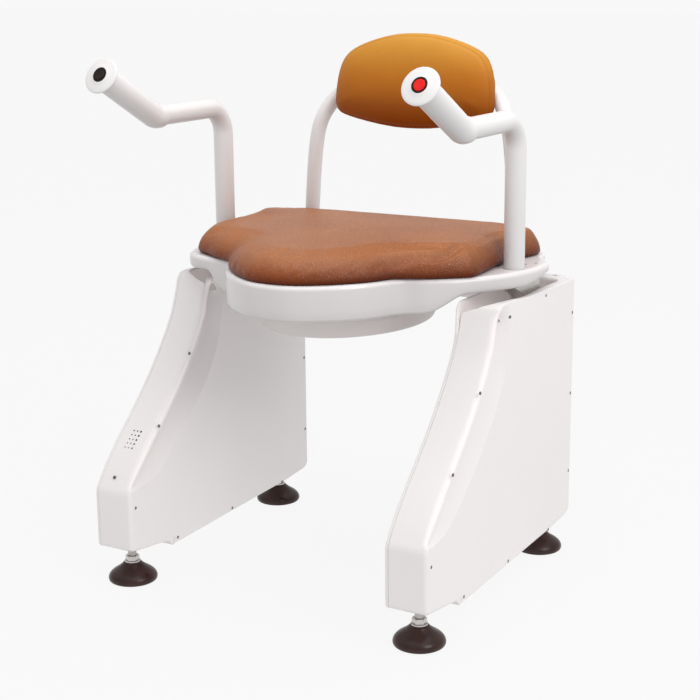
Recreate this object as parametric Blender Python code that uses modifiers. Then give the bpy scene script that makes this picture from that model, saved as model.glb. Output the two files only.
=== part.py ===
"""Toilet seat raiser: two side towers on levelling feet, a parallel-arm lift, and a
padded seat with two armrests and a back pad. Modelled lowered, in metres, +Z up,
front of the seat towards -Y, the user's left and right sides at +X and -X."""

import math

import bmesh
import bpy
from mathutils import Matrix, Vector

MM = 0.001
GAP = 0.3  # clearance between pieces that touch

# ---- driving sizes, millimetres -------------------------------------------------
Y_MID = 244.5  # distance from the front feet to the middle of the object's length
TOWER_X = 265.0  # centre of each tower from the middle plane
TOWER_W = 68.7  # width of a tower over its two covers
WALL = 3.0  # wall of the moulded covers
SCOOP_DEPTH = 14.0  # depth of the hollow beside the front strip, at the top
FOOT_FRONT_Y, FOOT_REAR_Y = 0.0, 447.3
FOOT_R = 40.0
STUD_R = 7.0
PLATE_TOP = 515.0  # top of the moulded seat base
PAN_BOTTOM = 460.0
RIM_BOTTOM = 490.0
CUSHION_TOP = 563.5
POST_X, POST_Y = 272.3, 308.6
ARM_R, SLEEVE_R = 16.6, 20.0
ARM_Z = 748.0
ELBOW_Y = 115.6
GRIP_DEG = 28.9
GRIP_LEN = 152.8
BUTTON_R = 11.0
BUTTON_TRAVEL = 2.0
BACK_X, BACK_Y, BACK_R = 202.0, 479.0, 13.0
PIVOT_A1 = (215.0, 418.0)  # upper arm on the tower, as (Y, Z)
PIVOT_A2 = (250.0, 353.0)  # lower arm on the tower
ARM_VECTOR = (180.0, -105.0)  # from a tower pivot to its seat pivot, lowered
PIVOT_B1 = (PIVOT_A1[0] + ARM_VECTOR[0], PIVOT_A1[1] + ARM_VECTOR[1])
PIVOT_B2 = (PIVOT_A2[0] + ARM_VECTOR[0], PIVOT_A2[1] + ARM_VECTOR[1])
LINK_HALF_W = 10.0
LINK_R = 13.0
PIN_R = 8.0
BORE_R = 8.09

BEAM_Y, BEAM_Z = (478.0, 492.0), (421.0, 456.0)

SIDES = (("r", 1.0), ("l", -1.0))

for stale in list(bpy.data.objects):
    bpy.data.objects.remove(stale, do_unlink=True)

scene = bpy.context.scene
home = bpy.data.collections.new("toilet_seat_raiser")
scene.collection.children.link(home)
shop = bpy.data.collections.new("cutters")
scene.collection.children.link(shop)


def material(name, colour, rough, metal=0.0):
    found = bpy.data.materials.get(name)
    if found:
        return found
    made = bpy.data.materials.new(name)
    made.use_nodes = True
    shader = made.node_tree.nodes["Principled BSDF"]
    shader.inputs["Base Color"].default_value = (*colour, 1.0)
    shader.inputs["Roughness"].default_value = rough
    shader.inputs["Metallic"].default_value = metal
    made.diffuse_color = (*colour, 1.0)
    return made


WHITE = ("cover_white", (0.86, 0.84, 0.84), 0.22, 0.0)
PAINT = ("paint_white", (0.86, 0.85, 0.85), 0.25, 0.0)
STEEL = ("chassis_steel", (0.30, 0.30, 0.32), 0.45, 1.0)
ZINC = ("zinc_steel", (0.62, 0.62, 0.62), 0.35, 1.0)
BRACKET = ("bracket_zinc", (0.58, 0.57, 0.55), 0.4, 0.9)
FOOT = ("foot_rubber", (0.035, 0.014, 0.012), 0.4, 0.0)
SEAT = ("seat_leather", (0.36, 0.12, 0.05), 0.45, 0.0)
BACK = ("back_leather", (0.45, 0.19, 0.04), 0.45, 0.0)
BOARD = ("board_dark", (0.05, 0.04, 0.035), 0.6, 0.0)
BLACK = ("black_plastic", (0.02, 0.02, 0.02), 0.35, 0.0)
RED = ("red_plastic", (0.75, 0.02, 0.02), 0.3, 0.0)
GUARD = ("guard_white", (0.80, 0.78, 0.78), 0.35, 0.0)


def place(points):
    """Millimetres measured from the front feet to metres about the frame's origin."""
    return [Vector((x * MM, (y - Y_MID) * MM, z * MM)) for x, y, z in points]


def add(name, mesh, look, where=home):
    obj = bpy.data.objects.new(name, mesh)
    where.objects.link(obj)
    mesh.materials.clear()
    mesh.materials.append(material(*look))
    return obj


def as_cutter(obj):
    obj.hide_render = True
    obj.display_type = "WIRE"
    for collection in list(obj.users_collection):
        collection.objects.unlink(obj)
    shop.objects.link(obj)
    return obj


def evaluated_mesh(obj):
    """The object's shape with its modifiers, as a new mesh in world space."""
    bpy.context.view_layer.update()
    graph = bpy.context.evaluated_depsgraph_get()
    mesh = bpy.data.meshes.new_from_object(obj.evaluated_get(graph))
    mesh.transform(obj.matrix_world)
    work = bmesh.new()
    work.from_mesh(mesh)
    bmesh.ops.remove_doubles(work, verts=work.verts, dist=1e-6)
    bmesh.ops.recalc_face_normals(work, faces=work.faces)
    work.to_mesh(mesh)
    work.free()
    return mesh


def smooth(obj, degrees=35.0):
    for face in obj.data.polygons:
        face.use_smooth = True
    obj.data.set_sharp_from_angle(angle=math.radians(degrees))
    return obj


def bevel(obj, width, segments=2, degrees=40.0):
    mod = obj.modifiers.new("edge", "BEVEL")
    mod.width = width * MM
    mod.segments = segments
    mod.limit_method = "ANGLE"
    mod.angle_limit = math.radians(degrees)
    return mod


def boolean(obj, other, operation="DIFFERENCE"):
    mod = obj.modifiers.new(operation.lower(), "BOOLEAN")
    mod.operation = operation
    mod.solver = "EXACT"
    mod.object = other
    return mod


AXES = {  # local x, local y and local z of an outline drawn in the named plane
    "YZ": ((0, 1, 0), (0, 0, 1), (1, 0, 0)),
    "XY": ((1, 0, 0), (0, 1, 0), (0, 0, 1)),
    "XZ": ((1, 0, 0), (0, 0, 1), (0, -1, 0)),
}


def slab(name, plane, outline, low, high, look, holes=()):
    """A flat outline, with round holes, extruded square to its plane."""
    curve = bpy.data.curves.new(name, "CURVE")
    curve.dimensions = "2D"
    curve.fill_mode = "BOTH"
    curve.extrude = (high - low) / 2 * MM
    rings = [outline]
    for cu, cv, radius, count in holes:
        turn = [2 * math.pi * i / count for i in range(count)]
        rings.append([(cu + radius * math.cos(a), cv + radius * math.sin(a)) for a in turn])
    for ring in rings:
        spline = curve.splines.new("POLY")
        spline.points.add(len(ring) - 1)
        for point, (u, v) in zip(spline.points, ring):
            point.co = (u * MM, v * MM, 0, 1)
        spline.use_cyclic_u = True
    obj = add(name, curve, look)
    ax, ay, az = (Vector(a) for a in AXES[plane])
    mid = (low + high) / 2 * MM
    shift = Vector((0, -Y_MID * MM, 0)) + az * (mid if plane != "XZ" else -mid)
    if plane == "XZ":
        shift = Vector((0, mid - Y_MID * MM, 0))
    frame = Matrix.Identity(4)
    for i, axis in enumerate((ax, ay, az)):
        for j in range(3):
            frame[j][i] = axis[j]
    frame.translation = shift
    obj.matrix_world = frame
    mesh = evaluated_mesh(obj)
    bpy.data.objects.remove(obj, do_unlink=True)
    return smooth(add(name, mesh, look))


def box(name, x, y, z, look):
    return slab(name, "XY", [(x[0], y[0]), (x[1], y[0]), (x[1], y[1]), (x[0], y[1])], *z, look)


def turned(name, profile, origin, direction, look, steps=24, closed=False):
    """A profile of (radius, height) revolved about an axis through origin."""
    mesh = bpy.data.meshes.new(name)
    points = [(r * MM, 0, h * MM) for r, h in profile]
    edges = [(i, i + 1) for i in range(len(points) - 1)]
    if closed:
        edges.append((len(points) - 1, 0))
    mesh.from_pydata(points, edges, [])
    obj = add(name, mesh, look)
    screw = obj.modifiers.new("turn", "SCREW")
    screw.steps = screw.render_steps = steps
    screw.use_merge_vertices = True
    screw.merge_threshold = 0.00001
    screw.use_smooth_shade = True
    way = Vector(direction).normalized()
    obj.matrix_world = (
        Matrix.Translation(place([origin])[0])
        @ Vector((0, 0, 1)).rotation_difference(way).to_matrix().to_4x4()
    )
    made = evaluated_mesh(obj)
    bpy.data.objects.remove(obj, do_unlink=True)
    return smooth(add(name, made, look))


def bent_bar(name, path, radius, look, segments=4):
    """A round bar along a path of points."""
    curve = bpy.data.curves.new(name, "CURVE")
    curve.dimensions = "3D"
    curve.bevel_depth = radius * MM
    curve.bevel_resolution = segments
    curve.use_fill_caps = True
    spline = curve.splines.new("POLY")
    spline.points.add(len(path) - 1)
    for point, at in zip(spline.points, place(path)):
        point.co = (*at, 1)
    obj = add(name, curve, look)
    mesh = evaluated_mesh(obj)
    bpy.data.objects.remove(obj, do_unlink=True)
    return smooth(add(name, mesh, look))


def loft(name, rings, look, around=False):
    """Rings of equal count joined in order: closed by end faces, or back to the first ring."""
    count = len(rings[0])
    points = [p for ring in rings for p in place(ring)]
    faces = []
    spans = len(rings) if around else len(rings) - 1
    for k in range(spans):
        a, b = k * count, (k + 1) % len(rings) * count
        for i in range(count):
            j = (i + 1) % count
            faces.append((a + i, a + j, b + j, b + i))
    if not around:
        faces.append(tuple(range(count))[::-1])
        faces.append(tuple(range(len(points) - count, len(points))))
    mesh = bpy.data.meshes.new(name)
    mesh.from_pydata(points, [], faces)
    work = bmesh.new()
    work.from_mesh(mesh)
    bmesh.ops.recalc_face_normals(work, faces=work.faces)
    work.to_mesh(mesh)
    work.free()
    return smooth(add(name, mesh, look))


def eased(points, per_span, closed=False):
    """A smooth curve through 2-D or 3-D points."""
    pts = [Vector(p) for p in points]
    n = len(pts)
    out = []
    for i in range(n if closed else n - 1):
        if closed:
            p0, p1, p2, p3 = (pts[(i + k) % n] for k in (-1, 0, 1, 2))
        else:
            p0, p1, p2, p3 = (pts[min(max(i + k, 0), n - 1)] for k in (-1, 0, 1, 2))
        for s in range(per_span):
            t = s / per_span
            out.append(
                tuple(
                    0.5
                    * (
                        2 * p1
                        + (p2 - p0) * t
                        + (2 * p0 - 5 * p1 + 4 * p2 - p3) * t * t
                        + (3 * p1 - p0 - 3 * p2 + p3) * t**3
                    )
                )
            )
    if not closed:
        out.append(tuple(pts[-1]))
    return out


def filleted(points, radii, steps=6):
    """A path with its corners rounded: the radius at each inner point, in order."""
    pts = [Vector(p) for p in points]
    out = [pts[0]]
    for i in range(1, len(pts) - 1):
        a = (pts[i - 1] - pts[i]).normalized()
        b = (pts[i + 1] - pts[i]).normalized()
        half = a.angle(b) / 2
        reach = radii[i - 1] / math.tan(half)
        centre = pts[i] + (a + b).normalized() * (radii[i - 1] / math.sin(half))
        start = pts[i] + a * reach - centre
        end = pts[i] + b * reach - centre
        sweep = start.angle(end)
        for s in range(steps + 1):
            t = s / steps
            w0 = math.sin((1 - t) * sweep) / math.sin(sweep)
            w1 = math.sin(t * sweep) / math.sin(sweep)
            out.append(centre + start * w0 + end * w1)
    out.append(pts[-1])
    return [tuple(p) for p in out]


def inset(outline, distance):
    """A closed 2-D outline, anticlockwise, moved inwards."""
    n = len(outline)
    out = []
    for i in range(n):
        p, q, r = (Vector(outline[(i + k) % n]) for k in (-1, 0, 1))
        a = (q - p).normalized()
        b = (r - q).normalized()
        na, nb = Vector((-a.y, a.x)), Vector((-b.y, b.x))
        m = na + nb
        m = m / max(m.length_squared / 2, 0.5)
        out.append(tuple(q + m * distance))
    return out


# ---- tower covers ----------------------------------------------------------------
FRONT_EDGE = [
    (-43.5, 160), (-37, 172.5), (-20, 195), (9, 226), (39, 254), (67, 280.5),
    (108, 323), (149, 373), (175, 412), (189, 445), (195, 463),
]
BOTTOM_EDGE = [
    (500, 66), (496, 59), (484, 55), (420, 50.5), (68, 43), (62, 46), (56, 53),
    (28, 57), (-20, 62.5), (-39, 66), (-43.5, 70),
]
TOP_EDGE = [(199, 471.5), (208, 477), (222, 478.5), (256, 477), (300, 473), (424, 469.5), (500, 468.5)]
SCOOP_EDGE = [
    (-50, 169), (-24, 168.5), (4, 171), (31, 180), (56, 197), (93, 226),
    (137, 262), (181, 308), (214, 360), (229, 411), (237, 452), (240, 492),
]
SCOOP_FRONT = [
    (-47, 166), (-39, 171), (-20, 195), (9, 226), (39, 254), (67, 280.5),
    (108, 323), (149, 373), (175, 412), (189, 445), (197, 468), (203, 492),
]
SCOOP_SHARE = [-0.03, 0.06, 0.18, 0.34, 0.5, 0.62, 0.74, 0.86, 0.95, 1.0, 1.0, 1.0]


def front_curve():
    return eased(FRONT_EDGE, 2)


def tower_outline():
    return front_curve()[::-1] + BOTTOM_EDGE[::-1] + TOP_EDGE[::-1]


def anticlockwise(outline):
    area = sum(
        p[0] * q[1] - q[0] * p[1] for p, q in zip(outline, outline[1:] + outline[:1])
    )
    return outline if area > 0 else outline[::-1]


def scoop_cutter(name, outer_x):
    """The crescent hollow beside the front strip: shallow at the knee, deep at the top."""
    front, back = eased(SCOOP_FRONT, 2), eased(SCOOP_EDGE, 2)
    share = [s[0] for s in eased([(s, 0) for s in SCOOP_SHARE], 2)]
    section = [(-0.2, 0.90), (0.0, 0.93), (0.3, 1.06), (0.58, 1.06), (0.76, 0.92), (0.89, 0.58), (0.965, 0.22), (1.0, 0.0)]
    rings = []
    for f, b, s in zip(front, back, share):
        f, b = Vector(f), Vector(b)
        ring = []
        for along, deep in section:
            at = f + (b - f) * along
            ring.append((outer_x - deep * s * SCOOP_DEPTH, at.x, at.y))
        end = f + (b - f) * 1.012
        start = f + (b - f) * -0.2
        ring += [(outer_x + 6, end.x, end.y), (outer_x + 6, start.x, start.y)]
        rings.append(ring)
    return as_cutter(loft(name, rings, WHITE))


for side, sign in SIDES:
    x0 = sign * TOWER_X - TOWER_W / 2  # the flat side of this tower
    x1 = x0 + TOWER_W  # the hollowed side
    outline = anticlockwise(tower_outline())
    cover = slab(f"side_cover_{side}", "YZ", outline, x0 + 5.65, x1, WHITE)
    bevel(cover, 4.0, 2, 50)
    cover_mesh = evaluated_mesh(cover)
    bpy.data.objects.remove(cover, do_unlink=True)
    cover = smooth(add(f"side_cover_{side}", cover_mesh, WHITE))
    boolean(cover, scoop_cutter(f"cut_scoop_{side}", x1))
    # the hollow follows the cover's own edge, and is open at the top behind the strip
    inner_front = inset(outline, WALL)
    front_inner = sorted(
        [p for p in inner_front if p[0] < 191.5 and p[1] > 150 and p[1] < 462], key=lambda p: p[1]
    )
    bottom_inner = sorted([p for p in inner_front if p[1] < 100], key=lambda p: p[0])
    cavity = [(497, 500), (199.5, 500), (199.5, 470)] + front_inner[::-1] + bottom_inner + [(497, 72)]
    keep = []
    for p in cavity:
        if not keep or (Vector(p) - Vector(keep[-1])).length > 1.0:
            keep.append(p)
    boolean(cover, as_cutter(slab(f"cut_hollow_{side}", "YZ", anticlockwise(keep), x0 - 5, x1 - 18.0, WHITE)))
    back = eased(SCOOP_EDGE, 2)
    edge = [(p[0] + 5, p[1] - 5) for p in back if p[1] > 180 and p[1] < 455]
    rear = anticlockwise(
        edge + [(246, 470), (300, 469.2), (424, 465.8), (497, 465)] + [(497, 70), (484, 60), (420, 55), (70, 48), (66, 57), (30, 62), (20, 150)]
    )
    boolean(cover, as_cutter(slab(f"cut_side_{side}", "YZ", rear, x0 - 6, x1 - WALL, WHITE)))
    for n, fy in enumerate((FOOT_FRONT_Y, FOOT_REAR_Y)):
        hole = turned(f"cut_foot_{side}_{n}", [(0, 40), (11.0, 40), (11.0, 0), (0, 0)], (sign * TOWER_X, fy, 30), (0, 0, 1), WHITE, 16)
        boolean(cover, as_cutter(hole))
    slot = [(247, 440), (496.5, 440), (496.5, 501), (247, 501)]
    # the opening leaves a flange on the side away from the seat
    slot_x = (x0 - 7, x1 - 13.5) if side == "r" else (x0 + 11.5, x1 - 8.0)
    boolean(cover, as_cutter(slab(f"cut_slot_{side}", "YZ", slot, slot_x[0], slot_x[1], WHITE)))

    flat = [p for p in front_curve() if p[1] < 415]
    flat = (
        flat[::-1]
        + BOTTOM_EDGE[::-1]
        + [(500, 474), (498.5, 478.5), (494, 480)]
        + [(204, 480), (196.3, 478.5), (189.9, 474.1), (185.5, 467.7), (184, 460), (184, 430)]
    )
    if side == "l":  # the outward side: level with the flange instead of standing up behind the lip
        flat = tower_outline()
    plate = slab(f"inner_cover_{side}", "YZ", anticlockwise(flat), x0, x0 + WALL, WHITE)
    bevel(plate, 0.9, 1, 50)

    # the tie behind the seat passes through the cover nearer the other tower
    way = as_cutter(box(f"cut_tie_{side}", (x0 - 9, x0 + 12) if side == "r" else (x1 - 12, x1 + 9), (BEAM_Y[0] - 1, BEAM_Y[1] + 1), (BEAM_Z[0] - 1, BEAM_Z[1] + 1), WHITE))
    boolean(plate if side == "r" else cover, way)

    # rear cap over the slot, between the two covers
    cap_x = (x0 + 3.6, x1 - 14.0) if side == "r" else (x0 + 12.0, x1 - 8.5)
    cap = box(f"top_cap_{side}", cap_x, (464.0, 496.0), (465.5, 472.5), WHITE)
    bevel(cap, 2.2, 2)

    # inner frame: floor channel with the foot nuts, and the plate that carries the arms
    xc = sign * TOWER_X
    web = [(-34, 70.5), (485, 70.5), (485, 180), (330, 440), (196, 440), (178, 405), (110, 315), (10, 218), (-34, 165)]
    chassis = slab(f"chassis_{side}", "YZ", web, x0 + 6.4, x0 + 10.4, STEEL, holes=[(330, 145, 34, 16), (200, 170, 40, 18), (90, 145, 30, 16)])
    foot_plate = as_cutter(slab(f"join_floor_{side}", "YZ", [(-31, 72), (482, 72), (482, 76), (-31, 76)], x0 + 8.4, x1 - 19.0, STEEL))
    boolean(chassis, foot_plate, "UNION")
    for tag, (py, pz) in (("a1", PIVOT_A1), ("a2", PIVOT_A2)):
        boss = as_cutter(
            turned(
                f"join_boss_{side}_{tag}",
                [(0, 15.0), (13.5, 15.0), (13.5, 0), (0, 0)],
                (x0 + 9.0, py, pz), (1, 0, 0), STEEL, 18,
            )
        )
        boolean(chassis, boss, "UNION")
    for tag, (py, pz) in (("a1", PIVOT_A1), ("a2", PIVOT_A2)):
        bore = as_cutter(
            turned(f"cut_boss_{side}_{tag}", [(0, 60), (PIN_R + GAP, 60), (PIN_R + GAP, 0), (0, 0)], (x0 - 8, py, pz), (1, 0, 0), STEEL, 16)
        )
        boolean(chassis, bore)
    for n, fy in enumerate((FOOT_FRONT_Y, FOOT_REAR_Y)):
        nut_hole = as_cutter(
            turned(f"cut_nut_{side}_{n}", [(0, 30), (STUD_R + 0.35, 30), (STUD_R + 0.35, 0), (0, 0)], (xc, fy, 60), (0, 0, 1), STEEL, 16)
        )
        boolean(chassis, nut_hole)

    # fixed pivot pins, head outside the arm
    for tag, (py, pz) in (("upper", PIVOT_A1), ("lower", PIVOT_A2)):
        arm_face = xc + LINK_HALF_W
        turned(
            f"tower_pin_{tag}_{side}",
            [(0, 3.6), (9.6, 3.6), (10.6, 2.8), (10.6, 0.5), (PIN_R, 0.5), (PIN_R, -(arm_face - x0 - 5.2)), (0, -(arm_face - x0 - 5.2))],
            (arm_face, py, pz), (1, 0, 0), ZINC, 24,
        )

    # lift arms: flat bars with round ends, bored for their pins
    def bar(name, a, b):
        a, b = Vector(a), Vector(b)
        way = (b - a).normalized()
        turn = math.atan2(way.y, way.x)
        ends = []
        for k in range(9):
            t = turn + math.pi / 2 + math.pi * k / 8
            ends.append((a.x + LINK_R * math.cos(t), a.y + LINK_R * math.sin(t)))
        for k in range(9):
            t = turn - math.pi / 2 + math.pi * k / 8
            ends.append((b.x + LINK_R * math.cos(t), b.y + LINK_R * math.sin(t)))
        obj = slab(name, "YZ", anticlockwise(ends), xc - LINK_HALF_W, xc + LINK_HALF_W, STEEL, holes=[(a.x, a.y, BORE_R, 24), (b.x, b.y, BORE_R, 24)])
        return obj

    bar(f"lift_arm_upper_{side}", PIVOT_A1, PIVOT_B1)
    bar(f"lift_arm_lower_{side}", PIVOT_A2, PIVOT_B2)

    # seat bracket: two cheeks that hang into the tower, under a plate for the seat wing
    b1, b2 = PIVOT_B1, PIVOT_B2
    cheek = []
    for k in range(9):
        t = math.radians(-150 + 150 * k / 8)
        cheek.append((b2[0] + 15 * math.cos(t), b2[1] + 15 * math.sin(t)))
    cheek += [(b2[0] + 15, b2[1] + 40), (410, 380), (398, 470), (390, 506)]
    cheek += [(290, 506), (290, 490), (335, 468), (366, 440), (378, 380), (380, 320)]
    bracket = slab(f"seat_bracket_{side}", "YZ", anticlockwise(cheek), xc - LINK_HALF_W - GAP - 4, xc - LINK_HALF_W - GAP, BRACKET,
                   holes=[(b1[0], b1[1], PIN_R + GAP, 16), (b2[0], b2[1], PIN_R + GAP, 16)])
    other = as_cutter(slab(f"join_cheek_{side}", "YZ", anticlockwise(cheek), xc + LINK_HALF_W + GAP, xc + LINK_HALF_W + GAP + 4, BRACKET,
                           holes=[(b1[0], b1[1], PIN_R + GAP, 16), (b2[0], b2[1], PIN_R + GAP, 16)]))
    head = as_cutter(box(f"join_head_{side}", (xc - 18.5, xc + 18.5), (286, 388), (504.5, PLATE_TOP - 6.0 - GAP), BRACKET))
    boolean(bracket, head, "UNION")
    boolean(bracket, other, "UNION")

    for tag, (py, pz) in (("upper", PIVOT_B1), ("lower", PIVOT_B2)):
        far = xc + LINK_HALF_W + GAP + 4 + 0.4
        near = xc - LINK_HALF_W - GAP - 4 - 1.6
        turned(
            f"seat_pin_{tag}_{side}",
            [(0, 1.8), (10.0, 1.8), (11.0, 1.1), (11.0, 0), (PIN_R, 0), (PIN_R, near - far), (0, near - far)],
            (far, py, pz), (1, 0, 0), ZINC, 24,
        )

    # levelling feet: dark pads and zinc studs with a hex nut
    for place_name, fy in (("front", FOOT_FRONT_Y), ("rear", FOOT_REAR_Y)):
        turned(
            f"foot_pad_{place_name}_{side}",
            [(0, 28), (13.0, 28), (16.0, 25), (18.5, 19.5), (29, 15.2), (38.0, 11.2), (FOOT_R, 7.5), (FOOT_R, 2.0), (38.6, 0), (0, 0)],
            (xc, fy, 0), (0, 0, 1), FOOT, 20,
        )
        stem = turned(
            f"foot_stem_{place_name}_{side}",
            [(0, 96), (STUD_R - 1, 96), (STUD_R, 95), (STUD_R, 42.0), (6.3, 40.0), (6.3, 28.3), (0, 28.3)],
            (xc, fy, 0), (0, 0, 1), ZINC, 16,
        )
        hexagon = [(xc + 11.5 * math.cos(math.radians(60 * k + 30)), fy + 11.5 * math.sin(math.radians(60 * k + 30))) for k in range(6)]
        hexnut = as_cutter(slab(f"join_nut_{place_name}_{side}", "XY", hexagon, 30.0, 39.0, ZINC))
        boolean(stem, hexnut, "UNION")

# tie between the towers, behind the seat
LEFT_END = -TOWER_X - TOWER_W / 2 + 10.4 + GAP
RIGHT_END = TOWER_X - TOWER_W / 2 + 6.4 - GAP
beam = box("rear_cross_beam", (LEFT_END, RIGHT_END), (BEAM_Y[0], BEAM_Y[1]), (BEAM_Z[0], BEAM_Z[1]), STEEL)

# ---- seat base -------------------------------------------------------------------
# the right half of the base's edge from the middle of the front to the middle of the rear
BASE_HALF = [
    (0, 16), (28, 18.5), (52, 28), (79, 45), (104, 65), (126, 90), (141, 115), (152, 138),
    (166, 152), (196, 164), (228, 186), (254, 214), (277, 248), (293, 283), (302, 318),
    (304.5, 352), (301.5, 382), (288.5, 404), (273, 422), (266, 443), (258, 468), (240, 492),
    (212, 503), (160, 506), (80, 507), (0, 507),
]
OPEN_Y, OPEN_A, OPEN_B = 248.0, 125.0, 157.0


def whole(half, per_span=2):
    """The full outline, from one half that starts and ends on the middle plane."""
    right = eased([(-half[1][0], half[1][1])] + half + [(-half[-2][0], half[-2][1])], per_span)
    right = right[per_span:-per_span]
    left = [(-x, y) for x, y in right[1:-1]][::-1]
    return right + left


base_outline = whole(BASE_HALF, 2)
COUNT = len(base_outline)


# height of the rim's lower edge against the distance from the middle plane
LOWER_EDGE = [
    (160, 460), (185, 461.4), (199, 463.4), (207, 467.3), (219, 475.4), (230, 484.0), (236, 487.6), (244, 489.8), (256, 490),
]


def underside(x, y):
    """Height of the rim's lower edge: deep round the pan, shallow on the wings, least at their rear."""
    x = abs(x)
    height = LOWER_EDGE[0][1] if x < LOWER_EDGE[0][0] else LOWER_EDGE[-1][1]
    for (a, low), (b, high) in zip(LOWER_EDGE, LOWER_EDGE[1:]):
        if a <= x < b:
            height = low + (high - low) * (x - a) / (b - a)
    rise = min(max((y - 300.0) / 68.0, 0.0), 1.0) * min(max((x - 240.0) / 20.0, 0.0), 1.0)
    return height + 10.0 * rise


def opening_ring(scale, z):
    ring = []
    for x, y in base_outline:
        turn = math.atan2(y - OPEN_Y, x)
        ring.append((OPEN_A * scale * math.cos(turn), OPEN_Y + OPEN_B * scale * math.sin(turn), z))
    return ring


def rim_ring(distance, height):
    return [
        (x, y, height(x0_, y0_))
        for (x, y), (x0_, y0_) in zip(inset(base_outline, distance), base_outline)
    ]


def flat_at(z):
    return lambda x, y: z


def blend_ring(a, b, share):
    return [tuple(p + (q - p) * share for p, q in zip(m, n)) for m, n in zip(a, b)]


top_edge_ring = rim_ring(7.0, flat_at(PLATE_TOP))
hole_top = opening_ring(1.0, PLATE_TOP)
ceiling = PLATE_TOP - 6.0
wall_top = rim_ring(6.2, flat_at(ceiling))
hole_low = opening_ring(1.0, ceiling)
rings = [
    hole_top,
    top_edge_ring,
    rim_ring(3.2, flat_at(PLATE_TOP - 0.9)),
    rim_ring(0.9, flat_at(PLATE_TOP - 3.3)),
    rim_ring(0.0, flat_at(PLATE_TOP - 7.0)),
    rim_ring(0.9, lambda x, y: underside(x, y) + 6.0),
    rim_ring(2.0, lambda x, y: underside(x, y) + 1.8),
    rim_ring(3.8, underside),
    rim_ring(5.6, underside),
    wall_top,
    hole_low,
]
seat_base = loft("seat_base", rings, WHITE, around=True)
for side, sign in SIDES:
    boolean(
        seat_base,
        as_cutter(turned(f"cut_post_{side}", [(0, 40), (ARM_R + GAP, 40), (ARM_R + GAP, 0), (0, 0)], (sign * POST_X, POST_Y, 490), (0, 0, 1), WHITE, 24)),
    )
    boolean(
        seat_base,
        as_cutter(turned(f"cut_leg_{side}", [(0, 40), (BACK_R + 1.2, 40), (BACK_R + 1.2, 0), (0, 0)], (sign * BACK_X, BACK_Y, 490), (0, 0, 1), WHITE, 24)),
    )

# ---- splash guard: a tapered chute hung in the base's opening ---------------------
def oval(a, b, yc, z, count=40):
    return [(a * math.cos(2 * math.pi * i / count), yc + b * math.sin(2 * math.pi * i / count), z) for i in range(count)]


GUARD_Y = 262.0
guard = loft(
    "splash_guard",
    [
        oval(152, 186, GUARD_Y, ceiling - GAP),
        oval(152, 186, GUARD_Y, ceiling - 3.3),
        oval(147, 181, GUARD_Y, ceiling - 4.3),
        oval(147, 181, GUARD_Y, 447),
        oval(133, 170, GUARD_Y, 423),
        oval(130.5, 167.5, GUARD_Y, 419.5),
        oval(127.5, 164.5, GUARD_Y, 419.5),
        oval(129.5, 166.5, GUARD_Y, 424.5),
        oval(143.5, 177.5, GUARD_Y, 447.5),
        oval(143.5, 177.5, GUARD_Y, ceiling - GAP),
    ],
    GUARD,
    around=True,
)

# ---- seat cushion on its board ----------------------------------------------------
CUSHION_HALF = [
    (0, 20), (25, 22.5), (48, 30.5), (76, 48), (101, 70), (124, 96), (139, 120), (150, 138),
    (166, 148), (194, 162), (221, 183), (239, 201), (247, 218), (250, 240), (249, 270), (246, 305),
    (244, 343), (250, 380), (255, 403), (256, 424), (251, 446), (234, 459), (190, 463), (100, 465), (0, 465),
]
cushion_outline = whole(CUSHION_HALF, 2)


def crown(x, y):
    """Height of the cushion's top, highest behind the middle."""
    across = (x / 250.0) ** 2
    along = ((y - 330.0) / 300.0) ** 2
    return CUSHION_TOP - 2.5 * across - 6.5 * along


def cushion_ring(distance, share, rise=None):
    ring = []
    for (x, y) in inset(cushion_outline, distance):
        top = crown(x, y)
        z = PLATE_TOP + GAP + share * (top - PLATE_TOP - GAP) if rise is None else rise
        ring.append((x, y, z))
    return ring


def scaled_ring(scale, z=None):
    base = inset(cushion_outline, 46.0)
    ring = []
    for x, y in base:
        px, py = x * scale, 255.0 + (y - 255.0) * scale
        ring.append((px, py, crown(px, py) if z is None else z))
    return ring


BOARD_TOP = PLATE_TOP + GAP + 8.0
cushion = loft(
    "seat_cushion",
    [
        cushion_ring(15.0, 0, BOARD_TOP + GAP),
        cushion_ring(14.7, 0, PLATE_TOP + GAP),
        cushion_ring(5.0, 0, PLATE_TOP + GAP),
        cushion_ring(0.4, 0.17),
        cushion_ring(0.8, 0.40),
        cushion_ring(6.0, 0.66),
        cushion_ring(15.0, 0.84),
        cushion_ring(28.0, 0.955),
        cushion_ring(46.0, 1.0),
        scaled_ring(0.62),
        scaled_ring(0.25),
    ],
    SEAT,
)
slab(
    "cushion_board", "XY", anticlockwise([(x, y) for x, y in inset(cushion_outline, 15.6)]),
    PLATE_TOP + GAP, BOARD_TOP, BOARD,
)

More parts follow.
